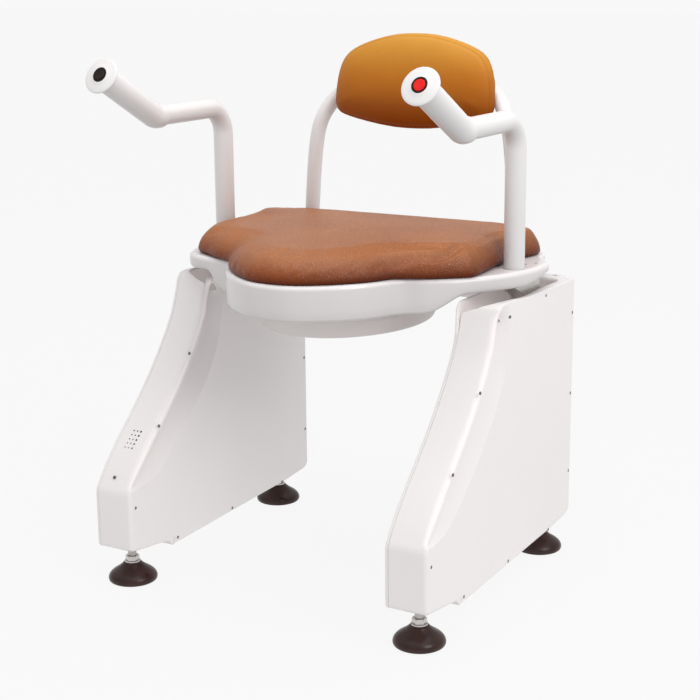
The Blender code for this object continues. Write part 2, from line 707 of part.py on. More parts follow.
# ---- armrests ---------------------------------------------------------------------
grip = Vector((0, -math.cos(math.radians(GRIP_DEG)), math.sin(math.radians(GRIP_DEG))))
for side, sign in SIDES:
    px = sign * POST_X
    elbow = Vector((px, ELBOW_Y, ARM_Z))
    end = elbow + grip * (GRIP_LEN - 8.0)
    foot_z = PLATE_TOP - 6.0
    line = [(px, POST_Y, foot_z), (px, POST_Y, ARM_Z), tuple(elbow), tuple(end)]
    path = filleted(line, [46.0, 22.0], 5)
    # keep the elbow's bend at the same rings in the tube and in its sleeve
    tube = bent_bar(f"arm_tube_{side}", path, ARM_R, PAINT)
    inner = filleted([(px, POST_Y, foot_z - 5), (px, POST_Y, ARM_Z), tuple(elbow), tuple(end + grip * 5)], [46.0, 22.0], 5)
    boolean(tube, as_cutter(bent_bar(f"cut_tube_{side}", inner, ARM_R - 2.0, PAINT)))
    tuck = Vector((px, ELBOW_Y + 15.0, ARM_Z))
    sleeve_path = filleted([tuple(tuck), tuple(elbow), tuple(end)], [22.0], 5)
    sleeve = bent_bar(f"grip_sleeve_{side}", sleeve_path, SLEEVE_R, PAINT)
    bore_path = filleted([tuple(tuck + Vector((0, 6, 0))), tuple(elbow), tuple(end + grip * 6)], [22.0], 5)
    boolean(sleeve, as_cutter(bent_bar(f"cut_sleeve_{side}", bore_path, ARM_R + GAP, PAINT)))

    face = elbow + grip * GRIP_LEN
    turned(
        f"grip_cap_{side}",
        [
            (BUTTON_R + GAP, -0.6), (13.2, -0.9), (16.5, -2.3), (27.0, -4.0), (28.4, -4.5), (28.9, -5.4),
            (28.7, -6.4), (27.2, -7.4), (20.5, -7.7), (13.6, -7.7), (13.6, -20.0), (12.4, -20.0), (12.4, -6.5), (BUTTON_R + GAP, -6.0),
        ],
        tuple(face), tuple(grip), PAINT, 28, closed=True,
    )
    turned(
        f"button_bezel_{side}",
        [(8.7, 0.0), (10.2, 0.0), (BUTTON_R, -0.7), (BUTTON_R, -6.4), (12.0, -6.8), (12.0, -19.0), (8.7, -19.0)],
        tuple(face), tuple(grip), BLACK, 24, closed=True,
    )
    turned(
        f"button_{side}",
        [(0, 0.9), (5.5, 0.7), (7.4, 0.2), (8.3, -0.9), (8.3, -8.0), (3.5, -8.0), (3.5, -15.0), (0, -15.0)],
        tuple(face), tuple(grip), RED if side == "r" else BLACK, 24,
    )

# ---- back frame, board and pad ------------------------------------------------------
BACK_HALF = [
    (BACK_X, BACK_Y, 508.6), (BACK_X - 3.5, BACK_Y, 560), (BACK_X - 8, BACK_Y + 0.5, 625), (BACK_X - 13, BACK_Y + 2, 675),
    (BACK_X - 20, BACK_Y + 6, 711), (BACK_X - 33, BACK_Y + 15, 739), (BACK_X - 51, BACK_Y + 27, 761),
    (BACK_X - 74, BACK_Y + 34, 777), (BACK_X - 103, BACK_Y + 37, 787), (BACK_X - 140, BACK_Y + 38, 791), (0, BACK_Y + 38, 792),
]
right = eased(BACK_HALF + [(-BACK_HALF[-2][0], *BACK_HALF[-2][1:])], 1)[: len(BACK_HALF)]
frame_path = right + [(-x, y, z) for x, y, z in right[:-1]][::-1]
back_tube = bent_bar("back_tube", frame_path, BACK_R, PAINT)
hollow_path = [(BACK_X, BACK_Y, 500)] + right[1:] + [(-x, y, z) for x, y, z in right[1:-1]][::-1] + [(-BACK_X, BACK_Y, 500)]
boolean(back_tube, as_cutter(bent_bar("cut_back_tube", hollow_path, BACK_R - 1.6, PAINT)))

PAD_HALF = [
    (0, 866.5), (32, 865.0), (64, 859.0), (98, 848.5), (126, 834.5), (140, 815), (147, 790),
    (150, 765), (149.5, 744), (141, 728.5), (122, 720.5), (82, 712), (40, 706), (0, 704),
]
PAD_TILT = 0.10
pad_outline = anticlockwise(whole(PAD_HALF, 2))


def pad_ring(distance, y, scale=None):
    ring = []
    for x, z in inset(pad_outline, distance):
        if scale is not None:
            x, z = x * scale, 783 + (z - 783) * scale
        ring.append((x, y + PAD_TILT * (z - 783), z))
    return ring


PAD_BACK = 494.0
loft(
    "back_pad",
    [
        pad_ring(38, PAD_BACK, 0.5),
        pad_ring(3.0, PAD_BACK),
        pad_ring(0.6, PAD_BACK - 2.0),
        pad_ring(0.0, PAD_BACK - 5.0),
        pad_ring(0.3, PAD_BACK - 13.0),
        pad_ring(4.0, PAD_BACK - 19.5),
        pad_ring(10.0, PAD_BACK - 25.5),
        pad_ring(20.0, PAD_BACK - 31.0),
        pad_ring(33.0, PAD_BACK - 36.5),
        pad_ring(33.0, PAD_BACK - 40.3, 0.72),
        pad_ring(33.0, PAD_BACK - 41.6, 0.36),
    ],
    BACK,
)
board = loft(
    "back_board",
    [pad_ring(42.0, PAD_BACK + GAP), pad_ring(42.0, PAD_BACK + 3.9), pad_ring(43.2, PAD_BACK + 5.0)],
    BOARD,
)
# saddles that hold the frame's top bar to the board
for side, sign in SIDES:
    sx = sign * 52.0
    seat_y = [PAD_BACK + 5.0 + 0.4 + PAD_TILT * (z - 783) for z in (771, 812)]
    high = BACK_Y + 36 + 17.5
    saddle = slab(
        f"back_saddle_{side}", "YZ",
        anticlockwise([(seat_y[0], 771), (high - 5, 771), (high, 777), (high, 806), (high - 5, 812), (seat_y[1], 812)]),
        sx - 11, sx + 11, PAINT,
    )
    groove = as_cutter(bent_bar(f"cut_saddle_{side}", [(sx - 30 , BACK_Y + 38, 791.6), (sx + 30, BACK_Y + 38, 791.6)], BACK_R + 1.7, PAINT))
    boolean(saddle, groove)

bpy.context.view_layer.update()
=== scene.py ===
"""Looks for the toilet seat raiser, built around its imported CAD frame.
Lists of points are in millimetres, measured from the front feet like the CAD source."""

import math

import bmesh
import bpy
import mathutils.geometry
import numpy as np
from mathutils import Matrix, Vector


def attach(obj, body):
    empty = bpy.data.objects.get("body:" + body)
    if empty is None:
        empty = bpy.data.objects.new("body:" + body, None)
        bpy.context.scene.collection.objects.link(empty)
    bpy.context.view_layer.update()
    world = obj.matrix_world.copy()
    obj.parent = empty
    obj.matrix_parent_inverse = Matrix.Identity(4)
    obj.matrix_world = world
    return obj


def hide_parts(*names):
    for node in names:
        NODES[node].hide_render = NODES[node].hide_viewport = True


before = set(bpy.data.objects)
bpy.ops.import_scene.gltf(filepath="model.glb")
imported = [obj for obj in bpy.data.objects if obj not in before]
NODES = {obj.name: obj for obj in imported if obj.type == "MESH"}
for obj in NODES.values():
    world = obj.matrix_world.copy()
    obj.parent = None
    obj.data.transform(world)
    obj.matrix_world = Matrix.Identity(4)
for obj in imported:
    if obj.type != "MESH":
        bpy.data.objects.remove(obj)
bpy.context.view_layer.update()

MM = 0.001
Y_MID = 244.5
TOWER_X, TOWER_W = 265.0, 68.7
SEAM = 5.5  # the parting line of the two covers, from the flat side
PLATE_TOP = 515.0
POST_X, POST_Y = 272.3, 308.6
ARM_R, SLEEVE_R = 16.6, 20.0
ARM_Z, ELBOW_Y = 748.0, 115.6
GRIP_DEG, GRIP_LEN = 28.9, 152.8
BUTTON_R = 11.0
BACK_X, BACK_Y, BACK_R = 202.0, 479.0, 13.0
SIDES = (("r", 1.0), ("l", -1.0))

home = bpy.data.collections.new("looks")
bpy.context.scene.collection.children.link(home)


# =============================================================== small tools
def place(p):
    return Vector((p[0] * MM, (p[1] - Y_MID) * MM, p[2] * MM))


def new_object(name, mesh):
    obj = bpy.data.objects.new(name, mesh)
    home.objects.link(obj)
    return obj


def shade(obj, degrees=32.0):
    mesh = obj.data
    mesh.polygons.foreach_set("use_smooth", [True] * len(mesh.polygons))
    mesh.set_sharp_from_angle(angle=math.radians(degrees))
    return obj


def from_faces(name, points, faces, degrees=32.0, metres=False):
    mesh = bpy.data.meshes.new(name)
    mesh.from_pydata([tuple(p) if metres else tuple(place(p)) for p in points], [], faces)
    work = bmesh.new()
    work.from_mesh(mesh)
    bmesh.ops.remove_doubles(work, verts=work.verts, dist=2e-6)
    bmesh.ops.dissolve_degenerate(work, edges=work.edges, dist=1e-6)
    bmesh.ops.recalc_face_normals(work, faces=work.faces)
    work.to_mesh(mesh)
    work.free()
    return shade(new_object(name, mesh), degrees)


def loft(name, rings, closed_rings=True, around=False, caps=(True, True), degrees=32.0):
    count = len(rings[0])
    points = [p for ring in rings for p in ring]
    faces = []
    spans = len(rings) if around else len(rings) - 1
    for k in range(spans):
        a, b = k * count, (k + 1) % len(rings) * count
        for i in range(count if closed_rings else count - 1):
            j = (i + 1) % count
            faces.append((a + i, a + j, b + j, b + i))
    if not around and caps[0]:
        faces.append(tuple(range(count))[::-1])
    if not around and caps[1]:
        faces.append(tuple(range(len(points) - count, len(points))))
    return from_faces(name, points, faces, degrees)


def eased(points, per_span, closed=False):
    pts = [Vector(p) for p in points]
    n = len(pts)
    out = []
    for i in range(n if closed else n - 1):
        if closed:
            p0, p1, p2, p3 = (pts[(i + k) % n] for k in (-1, 0, 1, 2))
        else:
            p0, p1, p2, p3 = (pts[min(max(i + k, 0), n - 1)] for k in (-1, 0, 1, 2))
        for s in range(per_span):
            t = s / per_span
            out.append(
                0.5 * (2 * p1 + (p2 - p0) * t + (2 * p0 - 5 * p1 + 4 * p2 - p3) * t * t + (3 * p1 - p0 - 3 * p2 + p3) * t**3)
            )
    if not closed:
        out.append(pts[-1].copy())
    return out


def filleted(points, radii, steps=14):
    pts = [Vector(p) for p in points]
    out = [pts[0]]
    for i in range(1, len(pts) - 1):
        a = (pts[i - 1] - pts[i]).normalized()
        b = (pts[i + 1] - pts[i]).normalized()
        half = a.angle(b) / 2
        reach = radii[i - 1] / math.tan(half)
        centre = pts[i] + (a + b).normalized() * (radii[i - 1] / math.sin(half))
        start = pts[i] + a * reach - centre
        end = pts[i] + b * reach - centre
        sweep = start.angle(end)
        for s in range(steps + 1):
            t = s / steps
            w0 = math.sin((1 - t) * sweep) / math.sin(sweep)
            w1 = math.sin(t * sweep) / math.sin(sweep)
            out.append(centre + start * w0 + end * w1)
    out.append(pts[-1])
    return out


def inset(outline, distance):
    n = len(outline)
    out = []
    for i in range(n):
        p, q, r = (Vector(outline[(i + k) % n]) for k in (-1, 0, 1))
        a, b = (q - p).normalized(), (r - q).normalized()
        m = Vector((-a.y, a.x)) + Vector((-b.y, b.x))
        out.append(q + m / max(m.length_squared / 2, 0.5) * distance)
    return out


def anticlockwise(outline):
    area = sum(p[0] * q[1] - q[0] * p[1] for p, q in zip(outline, list(outline[1:]) + [outline[0]]))
    return list(outline) if area > 0 else list(outline)[::-1]


def spaced(outline, step):
    """A closed polyline resampled at an even step, its corners kept by the short spacing."""
    pts = [Vector(p) for p in outline]
    out = []
    for p, q in zip(pts, pts[1:] + pts[:1]):
        n = max(1, round((q - p).length / step))
        out += [p + (q - p) * (i / n) for i in range(n)]
    return out


def turned(name, profile, origin, direction, steps=64, closed=False, degrees=32.0):
    """A profile of (radius, height) revolved about an axis through origin."""
    way = Vector(direction).normalized()
    turn = Vector((0, 0, 1)).rotation_difference(way).to_matrix()
    base = Vector(origin)
    points, faces, rows = [], [], []
    for r, h in profile:
        if r < 1e-6:
            rows.append([len(points)] * steps)
            points.append(base + turn @ Vector((0, 0, h)))
            continue
        rows.append([len(points) + i for i in range(steps)])
        for i in range(steps):
            a = 2 * math.pi * i / steps
            points.append(base + turn @ Vector((r * math.cos(a), r * math.sin(a), h)))
    spans = len(rows) if closed else len(rows) - 1
    for k in range(spans):
        a, b = rows[k], rows[(k + 1) % len(rows)]
        for i in range(steps):
            j = (i + 1) % steps
            face = [a[i], a[j], b[j], b[i]]
            face = [v for n, v in enumerate(face) if v not in face[:n]]
            if len(face) > 2:
                faces.append(tuple(face))
    return from_faces(name, points, faces, degrees)


def rounded(profile, radii, steps=5):
    """An open profile with its inner corners rounded; radii by index, 0 for none."""
    out = [Vector(profile[0])]
    for i in range(1, len(profile) - 1):
        r = radii.get(i, 0)
        p, q, s = Vector(profile[i - 1]), Vector(profile[i]), Vector(profile[i + 1])
        if not r:
            out.append(q)
            continue
        a, b = (p - q).normalized(), (s - q).normalized()
        for k in range(steps + 1):
            t = k / steps
            out.append((q + a * r) * (1 - t) ** 2 + q * 2 * t * (1 - t) + (q + b * r) * t**2)
    out.append(Vector(profile[-1]))
    return [tuple(p) for p in out]


def stations(path):
    """Points of a path with frames carried along it without twist."""
    pts = [Vector(p) for p in path]
    keep = [pts[0]]
    for p in pts[1:]:
        if (p - keep[-1]).length > 0.05:
            keep.append(p)
    pts = keep
    tangents = []
    for i in range(len(pts)):
        a, b = pts[max(i - 1, 0)], pts[min(i + 1, len(pts) - 1)]
        if 0 < i < len(pts) - 1:
            tangents.append(((pts[i] - a).normalized() + (b - pts[i]).normalized()).normalized())
        else:
            tangents.append((b - a).normalized())
    side = tangents[0].orthogonal().normalized()
    frames = []
    for p, t in zip(pts, tangents):
        side = (side - t * side.dot(t)).normalized()
        frames.append((p, t, side, t.cross(side)))
    return frames


def ring_at(station, radius, shift=0.0, count=48):
    p, t, u, v = station
    return [
        p + t * shift + (u * math.cos(2 * math.pi * i / count) + v * math.sin(2 * math.pi * i / count)) * radius
        for i in range(count)
    ]


def pipe(name, path, outer, inner, lip=1.0, count=48):
    """A hollow tube with softened ends."""
    st = stations(path)
    rings = [ring_at(st[0], outer - lip * 0.3, lip * 0.05, count), ring_at(st[0], outer, lip, count)]
    rings += [ring_at(s, outer, 0, count) for s in st[1:-1]]
    rings += [ring_at(st[-1], outer, -lip, count), ring_at(st[-1], outer - lip * 0.3, -lip * 0.05, count)]
    rings += [ring_at(st[-1], inner, 0, count)]
    rings += [ring_at(s, inner, 0, count) for s in st[1:-1][::-1]]
    rings += [ring_at(st[0], inner, 0, count)]
    return loft(name, rings, around=True)


def prism(name, outline, low, high, plane="XY"):
    """A straight prism used as a cutter or a small block."""
    def at(u, v, w):
        return {"XY": (u, v, w), "YZ": (w, u, v), "XZ": (u, w, v)}[plane]

    return loft(name, [[at(p[0], p[1], low) for p in outline], [at(p[0], p[1], high) for p in outline]])


def circle(cu, cv, r, n=32):
    return [(cu + r * math.cos(2 * math.pi * i / n), cv + r * math.sin(2 * math.pi * i / n)) for i in range(n)]


def baked(obj, degrees=32.0):
    """Applies an object's modifiers."""
    bpy.context.view_layer.update()
    graph = bpy.context.evaluated_depsgraph_get()
    mesh = bpy.data.meshes.new_from_object(obj.evaluated_get(graph))
    obj.modifiers.clear()
    old = obj.data
    obj.data = mesh
    bpy.data.meshes.remove(old)
    return shade(obj, degrees)


def cut(obj, cutters, degrees=32.0, operation="DIFFERENCE", solver="EXACT"):
    for tool in cutters:
        mod = obj.modifiers.new("cut", "BOOLEAN")
        mod.operation, mod.solver, mod.object = operation, solver, tool
    baked(obj, degrees)
    for tool in cutters:
        bpy.data.objects.remove(tool, do_unlink=True)
    work = bmesh.new()
    work.from_mesh(obj.data)
    bmesh.ops.remove_doubles(work, verts=work.verts, dist=2e-6)
    bmesh.ops.dissolve_degenerate(work, edges=work.edges, dist=1e-6)
    work.to_mesh(obj.data)
    work.free()
    return shade(obj, degrees)


def solidified(obj, thickness, degrees=32.0):
    mod = obj.modifiers.new("wall", "SOLIDIFY")
    mod.thickness = thickness * MM
    mod.offset = -1
    mod.use_even_offset = True
    mod.use_quality_normals = True
    return baked(obj, degrees)


def dress(obj, look, body, slot=None, *nodes):
    obj.data.materials.clear()
    obj.data.materials.append(look)
    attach(obj, body)
    if nodes:
        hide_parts(*nodes)
    return obj


# =============================================================== materials
def shader(name, base, rough, metal=0.0, specular=0.5):
    made = bpy.data.materials.new(name)
    made.use_nodes = True
    tree = made.node_tree
    bsdf = tree.nodes["Principled BSDF"]
    bsdf.inputs["Base Color"].default_value = (*base, 1)
    bsdf.inputs["Roughness"].default_value = rough
    bsdf.inputs["Metallic"].default_value = metal
    bsdf.inputs["Specular IOR Level"].default_value = specular
    return made, tree, bsdf


def node(tree, kind, **values):
    made = tree.nodes.new(kind)
    for key, value in values.items():
        if key in made.inputs:
            made.inputs[key].default_value = value
        else:
            setattr(made, key, value)
    return made


def noise(tree, coords, scale, detail=2.0, rough=0.5):
    made = node(tree, "ShaderNodeTexNoise")
    made.inputs["Scale"].default_value = scale
    made.inputs["Detail"].default_value = detail
    made.inputs["Roughness"].default_value = rough
    tree.links.new(coords, made.inputs["Vector"])
    return made.outputs["Fac"]


def ramp(tree, value, stops):
    made = node(tree, "ShaderNodeValToRGB")
    while len(made.color_ramp.elements) < len(stops):
        made.color_ramp.elements.new(0.5)
    for element, (at, colour) in zip(made.color_ramp.elements, stops):
        element.position = at
        element.color = (*colour, 1)
    tree.links.new(value, made.inputs["Fac"])
    return made.outputs["Color"]


def span(tree, value, low, high, to_low, to_high):
    made = node(tree, "ShaderNodeMapRange")
    made.inputs["From Min"].default_value = low
    made.inputs["From Max"].default_value = high
    made.inputs["To Min"].default_value = to_low
    made.inputs["To Max"].default_value = to_high
    tree.links.new(value, made.inputs["Value"])
    return made.outputs["Result"]


def math_node(tree, operation, a, b=None):
    made = node(tree, "ShaderNodeMath")
    made.operation = operation
    for socket, value in zip(made.inputs, (a, b)):
        if value is None:
            continue
        if isinstance(value, (int, float)):
            socket.default_value = value
        else:
            tree.links.new(value, socket)
    return made.outputs[0]


def bump(tree, bsdf, height, strength, distance, after=None):
    made = node(tree, "ShaderNodeBump")
    made.inputs["Strength"].default_value = strength
    made.inputs["Distance"].default_value = distance
    tree.links.new(height, made.inputs["Height"])
    if after is not None:
        tree.links.new(after, made.inputs["Normal"])
    tree.links.new(made.outputs["Normal"], bsdf.inputs["Normal"])
    return made.outputs["Normal"]


def coords_of(tree):
    return node(tree, "ShaderNodeTexCoord").outputs["Object"]


def white_finish(name, base, rough, peel=0.05, peel_scale=260.0, drift=0.02, low=(-0.8, 1.0, 0.5)):
    """Glossy white: a faint orange peel, slow tone drift, uneven gloss, and painted shade where the surface turns
    down.
    """
    made, tree, bsdf = shader(name, base, rough)
    at = coords_of(tree)
    slow = noise(tree, at, 5.0, 3.0)
    colour = ramp(tree, slow, [(0.3, tuple(c * (1 - drift) for c in base)), (0.7, tuple(min(1, c * (1 + drift)) for c in base))])
    # painted shade: the colour is darkened where the surface turns down, standing in for the dimmer light under it
    facing = node(tree, "ShaderNodeSeparateXYZ")
    tree.links.new(node(tree, "ShaderNodeNewGeometry").outputs["Normal"], facing.inputs[0])
    under_shaded = node(tree, "ShaderNodeVectorMath", operation="SCALE")
    tree.links.new(colour, under_shaded.inputs[0])
    tree.links.new(span(tree, facing.outputs["Z"], low[0], low[2], low[1], 1.0), under_shaded.inputs["Scale"])
    tree.links.new(under_shaded.outputs[0], bsdf.inputs["Base Color"])
    handled = noise(tree, at, 34.0, 4.0, 0.6)
    tree.links.new(span(tree, handled, 0.3, 0.75, rough * 0.92, rough * 1.12), bsdf.inputs["Roughness"])
    fine = noise(tree, at, peel_scale, 1.5)
    wide = noise(tree, at, 18.0, 1.0)
    height = math_node(tree, "ADD", fine, math_node(tree, "MULTIPLY", wide, 2.5))
    bump(tree, bsdf, height, peel, 0.0006)
    return made


def leather(name, dark, mid, light, rough, grain_scale, grain, gloss, heights, shade_by_height, flank=1.0):
    """Coated upholstery: pebbled grain, darker in its creases, with slow colour drift; painted shade darkens it
    towards the bottom and on faces turned towards +X, and its specular level falls towards the bottom.
    """
    made, tree, bsdf = shader(name, mid, rough, 0.0, gloss)
    at = coords_of(tree)
    warp = node(tree, "ShaderNodeTexNoise")
    warp.inputs["Scale"].default_value = grain_scale * 0.35
    warp.inputs["Detail"].default_value = 2.0
    tree.links.new(at, warp.inputs["Vector"])
    mixed = node(tree, "ShaderNodeMix", data_type="VECTOR")
    mixed.inputs["Factor"].default_value = 0.006
    tree.links.new(at, mixed.inputs[4])
    tree.links.new(warp.outputs["Color"], mixed.inputs[5])
    cells = node(tree, "ShaderNodeTexVoronoi", feature="DISTANCE_TO_EDGE")
    cells.inputs["Scale"].default_value = grain_scale
    tree.links.new(mixed.outputs[1], cells.inputs["Vector"])
    pebble = span(tree, cells.outputs["Distance"], 0.0, 0.34, 0.0, 1.0)
    slow = noise(tree, at, 7.0, 3.0)
    fine = noise(tree, at, grain_scale * 2.2, 2.0)
    tone = math_node(tree, "ADD", math_node(tree, "MULTIPLY", slow, 0.75), math_node(tree, "MULTIPLY", pebble, 0.25))
    colour = ramp(tree, tone, [(0.22, dark), (0.55, mid), (0.85, light)])
    # painted shade: the colour is darkened towards the bottom by the height ramp, and the same height lowers the
    # specular level
    place_ = node(tree, "ShaderNodeSeparateXYZ")
    tree.links.new(at, place_.inputs[0])
    up = span(tree, place_.outputs["Z"], *heights, 0.0, 1.0)
    height_shaded = node(tree, "ShaderNodeVectorMath", operation="MULTIPLY")
    tree.links.new(colour, height_shaded.inputs[0])
    tree.links.new(ramp(tree, up, shade_by_height), height_shaded.inputs[1])
    # painted shade: faces turned towards +X are darkened by the flank factor
    facing = node(tree, "ShaderNodeSeparateXYZ")
    tree.links.new(node(tree, "ShaderNodeNewGeometry").outputs["Normal"], facing.inputs[0])
    side_shaded = node(tree, "ShaderNodeVectorMath", operation="SCALE")
    tree.links.new(height_shaded.outputs[0], side_shaded.inputs[0])
    tree.links.new(span(tree, facing.outputs["X"], 0.15, 0.8, 1.0, flank), side_shaded.inputs["Scale"])
    tree.links.new(side_shaded.outputs[0], bsdf.inputs["Base Color"])
    tree.links.new(span(tree, up, 0.0, 0.8, gloss * 0.15, gloss), bsdf.inputs["Specular IOR Level"])
    tree.links.new(span(tree, pebble, 0.0, 1.0, min(1, rough * 1.35), rough * 0.9), bsdf.inputs["Roughness"])
    first = bump(tree, bsdf, pebble, grain, 0.0005)
    bump(tree, bsdf, fine, grain * 0.5, 0.0002, first)
    return made


def metal(name, base, rough, streak=(1, 1, 1), amount=0.25):
    made, tree, bsdf = shader(name, base, rough, 1.0)
    at = coords_of(tree)
    mapping = node(tree, "ShaderNodeMapping")
    mapping.inputs["Scale"].default_value = streak
    tree.links.new(at, mapping.inputs["Vector"])
    grainy = noise(tree, mapping.outputs["Vector"], 160.0, 3.0, 0.6)
    tree.links.new(span(tree, grainy, 0.3, 0.7, rough * (1 - amount), min(1, rough * (1 + amount))), bsdf.inputs["Roughness"])
    tint = ramp(tree, noise(tree, at, 40.0, 3.0), [(0.3, tuple(c * 0.86 for c in base)), (0.75, base)])
    tree.links.new(tint, bsdf.inputs["Base Color"])
    bump(tree, bsdf, grainy, 0.08, 0.0002)
    return made


def moulded(name, base, rough, grain_scale=700.0, grain=0.15, specular=0.5, worn=None):
    made, tree, bsdf = shader(name, base, rough, 0.0, specular)
    at = coords_of(tree)
    fine = noise(tree, at, grain_scale, 2.0)
    slow = noise(tree, at, 45.0, 3.0)
    edge = worn or tuple(min(1, c * 1.6 + 0.01) for c in base)
    tree.links.new(ramp(tree, slow, [(0.35, base), (0.8, edge)]), bsdf.inputs["Base Color"])
    tree.links.new(span(tree, slow, 0.3, 0.7, rough * 0.85, min(1, rough * 1.25)), bsdf.inputs["Roughness"])
    bump(tree, bsdf, fine, grain, 0.0002)
    return made


# the last tuple of each white finish sets its painted shade on faces turned down
COVER = white_finish("cover_gloss", (0.808, 0.776, 0.770), 0.35, 0.05, 220.0, 0.012, (-0.6, 0.95, 0.55))
PAINT = white_finish("powder_white", (0.850, 0.825, 0.825), 0.30, 0.05, 420.0, 0.010, (-0.85, 0.56, 0.45))
PAN = white_finish("pan_gloss", (0.850, 0.810, 0.808), 0.20, 0.05, 180.0, 0.010, (-0.35, 0.60, 0.75))
GUARD = white_finish("guard_satin", (0.62, 0.575, 0.57), 0.34, 0.08, 300.0, 0.02)
INSIDE = white_finish("cover_inside", (0.78, 0.73, 0.72), 0.45, 0.10, 300.0, 0.03)
# the height ramps and the seat's flank factor are painted shade: darker towards the bottom and on the +X side
SEAT = leather(
    "seat_hide", (0.315, 0.086, 0.014), (0.420, 0.130, 0.023), (0.490, 0.168, 0.037), 0.32, 240.0, 0.8, 0.58,
    (0.516, 0.552), [(0.0, (0.22, 0.085, 0.025)), (0.42, (0.62, 0.45, 0.34)), (1.0, (1.0, 1.0, 1.0))], 0.74,
)
BACK = leather(
    "back_hide", (0.640, 0.285, 0.026), (0.720, 0.334, 0.036), (0.760, 0.365, 0.050), 0.42, 560.0, 0.16, 0.30,
    (0.705, 0.864), [(0.0, (0.31, 0.12, 0.05)), (0.25, (0.42, 0.22, 0.08)), (0.55, (0.70, 0.48, 0.20)), (1.0, (1.0, 1.0, 1.0))],
)
CHASSIS = white_finish("chassis_paint", (0.72, 0.69, 0.685), 0.40, 0.12, 300.0, 0.03)
for lit, painted_glow in ((INSIDE, 0.12), (CHASSIS, 0.12)):  # painted light: a faint glow on the inner skins and the chassis brightens the shaded inside of the towers
    lit.node_tree.nodes["Principled BSDF"].inputs["Emission Color"].default_value = (1.0, 0.95, 0.94, 1)
    lit.node_tree.nodes["Principled BSDF"].inputs["Emission Strength"].default_value = painted_glow
BRACKET = metal("bracket_zinc", (0.62, 0.60, 0.57), 0.38, (1, 1, 4))
ZINC = metal("bright_zinc", (0.64, 0.61, 0.59), 0.26, (1, 1, 6))
SCREW = metal("screw_steel", (0.20, 0.19, 0.19), 0.35, (1, 1, 1))
DARK = moulded("bracket_dark", (0.050, 0.047, 0.046), 0.45)
FOOT = moulded("foot_brown", (0.022, 0.0070, 0.005), 0.30, 520.0, 0.22, 0.34, (0.044, 0.015, 0.011))
BOARD = moulded("board_black", (0.045, 0.036, 0.030), 0.6, 300.0, 0.4)
BLACK = moulded("switch_black", (0.009, 0.005, 0.004), 0.34, 900.0, 0.2, 0.22, (0.022, 0.013, 0.010))
RED = moulded("switch_red", (0.76, 0.006, 0.006), 0.26, 900.0, 0.08, 0.30, (0.84, 0.016, 0.012))
# painted shade: black for the discs that stand in for the shade inside the vent holes
HOLE_SHADE = moulded("hole_shade_black", (0.012, 0.010, 0.010), 0.8)


# =============================================================== towers
# Perimeter points of the hollowed cover with the inner edge each one faces: the back
# edge of the hollow beside the strip, or a line a little inside the panel.
FRONT = [(-43.5, 160), (-37, 172.5), (-20, 195), (9, 226), (39, 254), (67, 280.5), (108, 323), (149, 373), (175, 412), (189, 445), (195, 463)]
HOLLOW_FRONT = [(-47, 166), (-39, 171), (-20, 195), (9, 226), (39, 254), (67, 280.5), (108, 323), (149, 373), (175, 412), (189, 445), (195, 461), (198.5, 470.5), (203, 483)]
HOLLOW_BACK = [(-50, 169), (-24, 168.5), (4, 171), (31, 180), (56, 197), (93, 226), (137, 262), (181, 308), (214, 360), (229, 411), (234.5, 438), (237, 456), (239, 473)]
SHARE = [-0.05, 0.24, 0.44, 0.58, 0.68, 0.76, 0.83, 0.90, 0.96, 1.0, 0.92, 0.30, -0.10]
SECTION = [(-0.3, 0.0), (0.0, 0.05), (0.12, 0.13), (0.2, 0.36), (0.3, 0.82), (0.40, 1.05), (0.50, 1.05), (0.62, 0.90), (0.76, 0.62), (0.88, 0.34), (0.96, 0.13), (1.0, 0.0)]
DEPTH = 16.5

_f = np.array([tuple(p) for p in eased(HOLLOW_FRONT, 40)])
_b = np.array([tuple(p) for p in eased(HOLLOW_BACK, 40)])
_s = np.array([p[0] for p in eased([(s, 0) for s in SHARE], 40)])
_sec = np.array([tuple(p) for p in eased(SECTION, 8)])


def distance_to(outline, x, z):
    pts = np.array([(p.x, p.y) for p in outline])
    nxt = np.roll(pts, -1, axis=0)
    d = nxt - pts
    best = np.full(len(x), 1e9)
    q = np.stack((x, z), 1)
    for a, v in zip(pts, d):
        t = np.clip(((q - a) @ v) / (v @ v), 0, 1)
        best = np.minimum(best, np.hypot(*(q - a - t[:, None] * v).T))
    return best


def hollow(y, z):
    """Depth of the hollow below the side face at a point of that face."""
    d = _b - _f
    p = np.array((y, z)) - _f
    cross = d[:, 0] * p[:, 1] - d[:, 1] * p[:, 0]
    length = np.maximum(np.hypot(d[:, 0], d[:, 1]), 1e-6)
    off = np.abs(cross) / length
    along = (d * p).sum(1) / length**2
    ok = (along > -0.35) & (along < 1.0)
    if not ok.any():
        return 0.0
    k = int(np.argmin(np.where(ok, off, 1e9)))
    if off[k] > 1.2:
        return 0.0
    deep = float(np.interp(along[k], _sec[:, 0], _sec[:, 1]))
    return max(0.0, deep * float(_s[k]) * DEPTH)


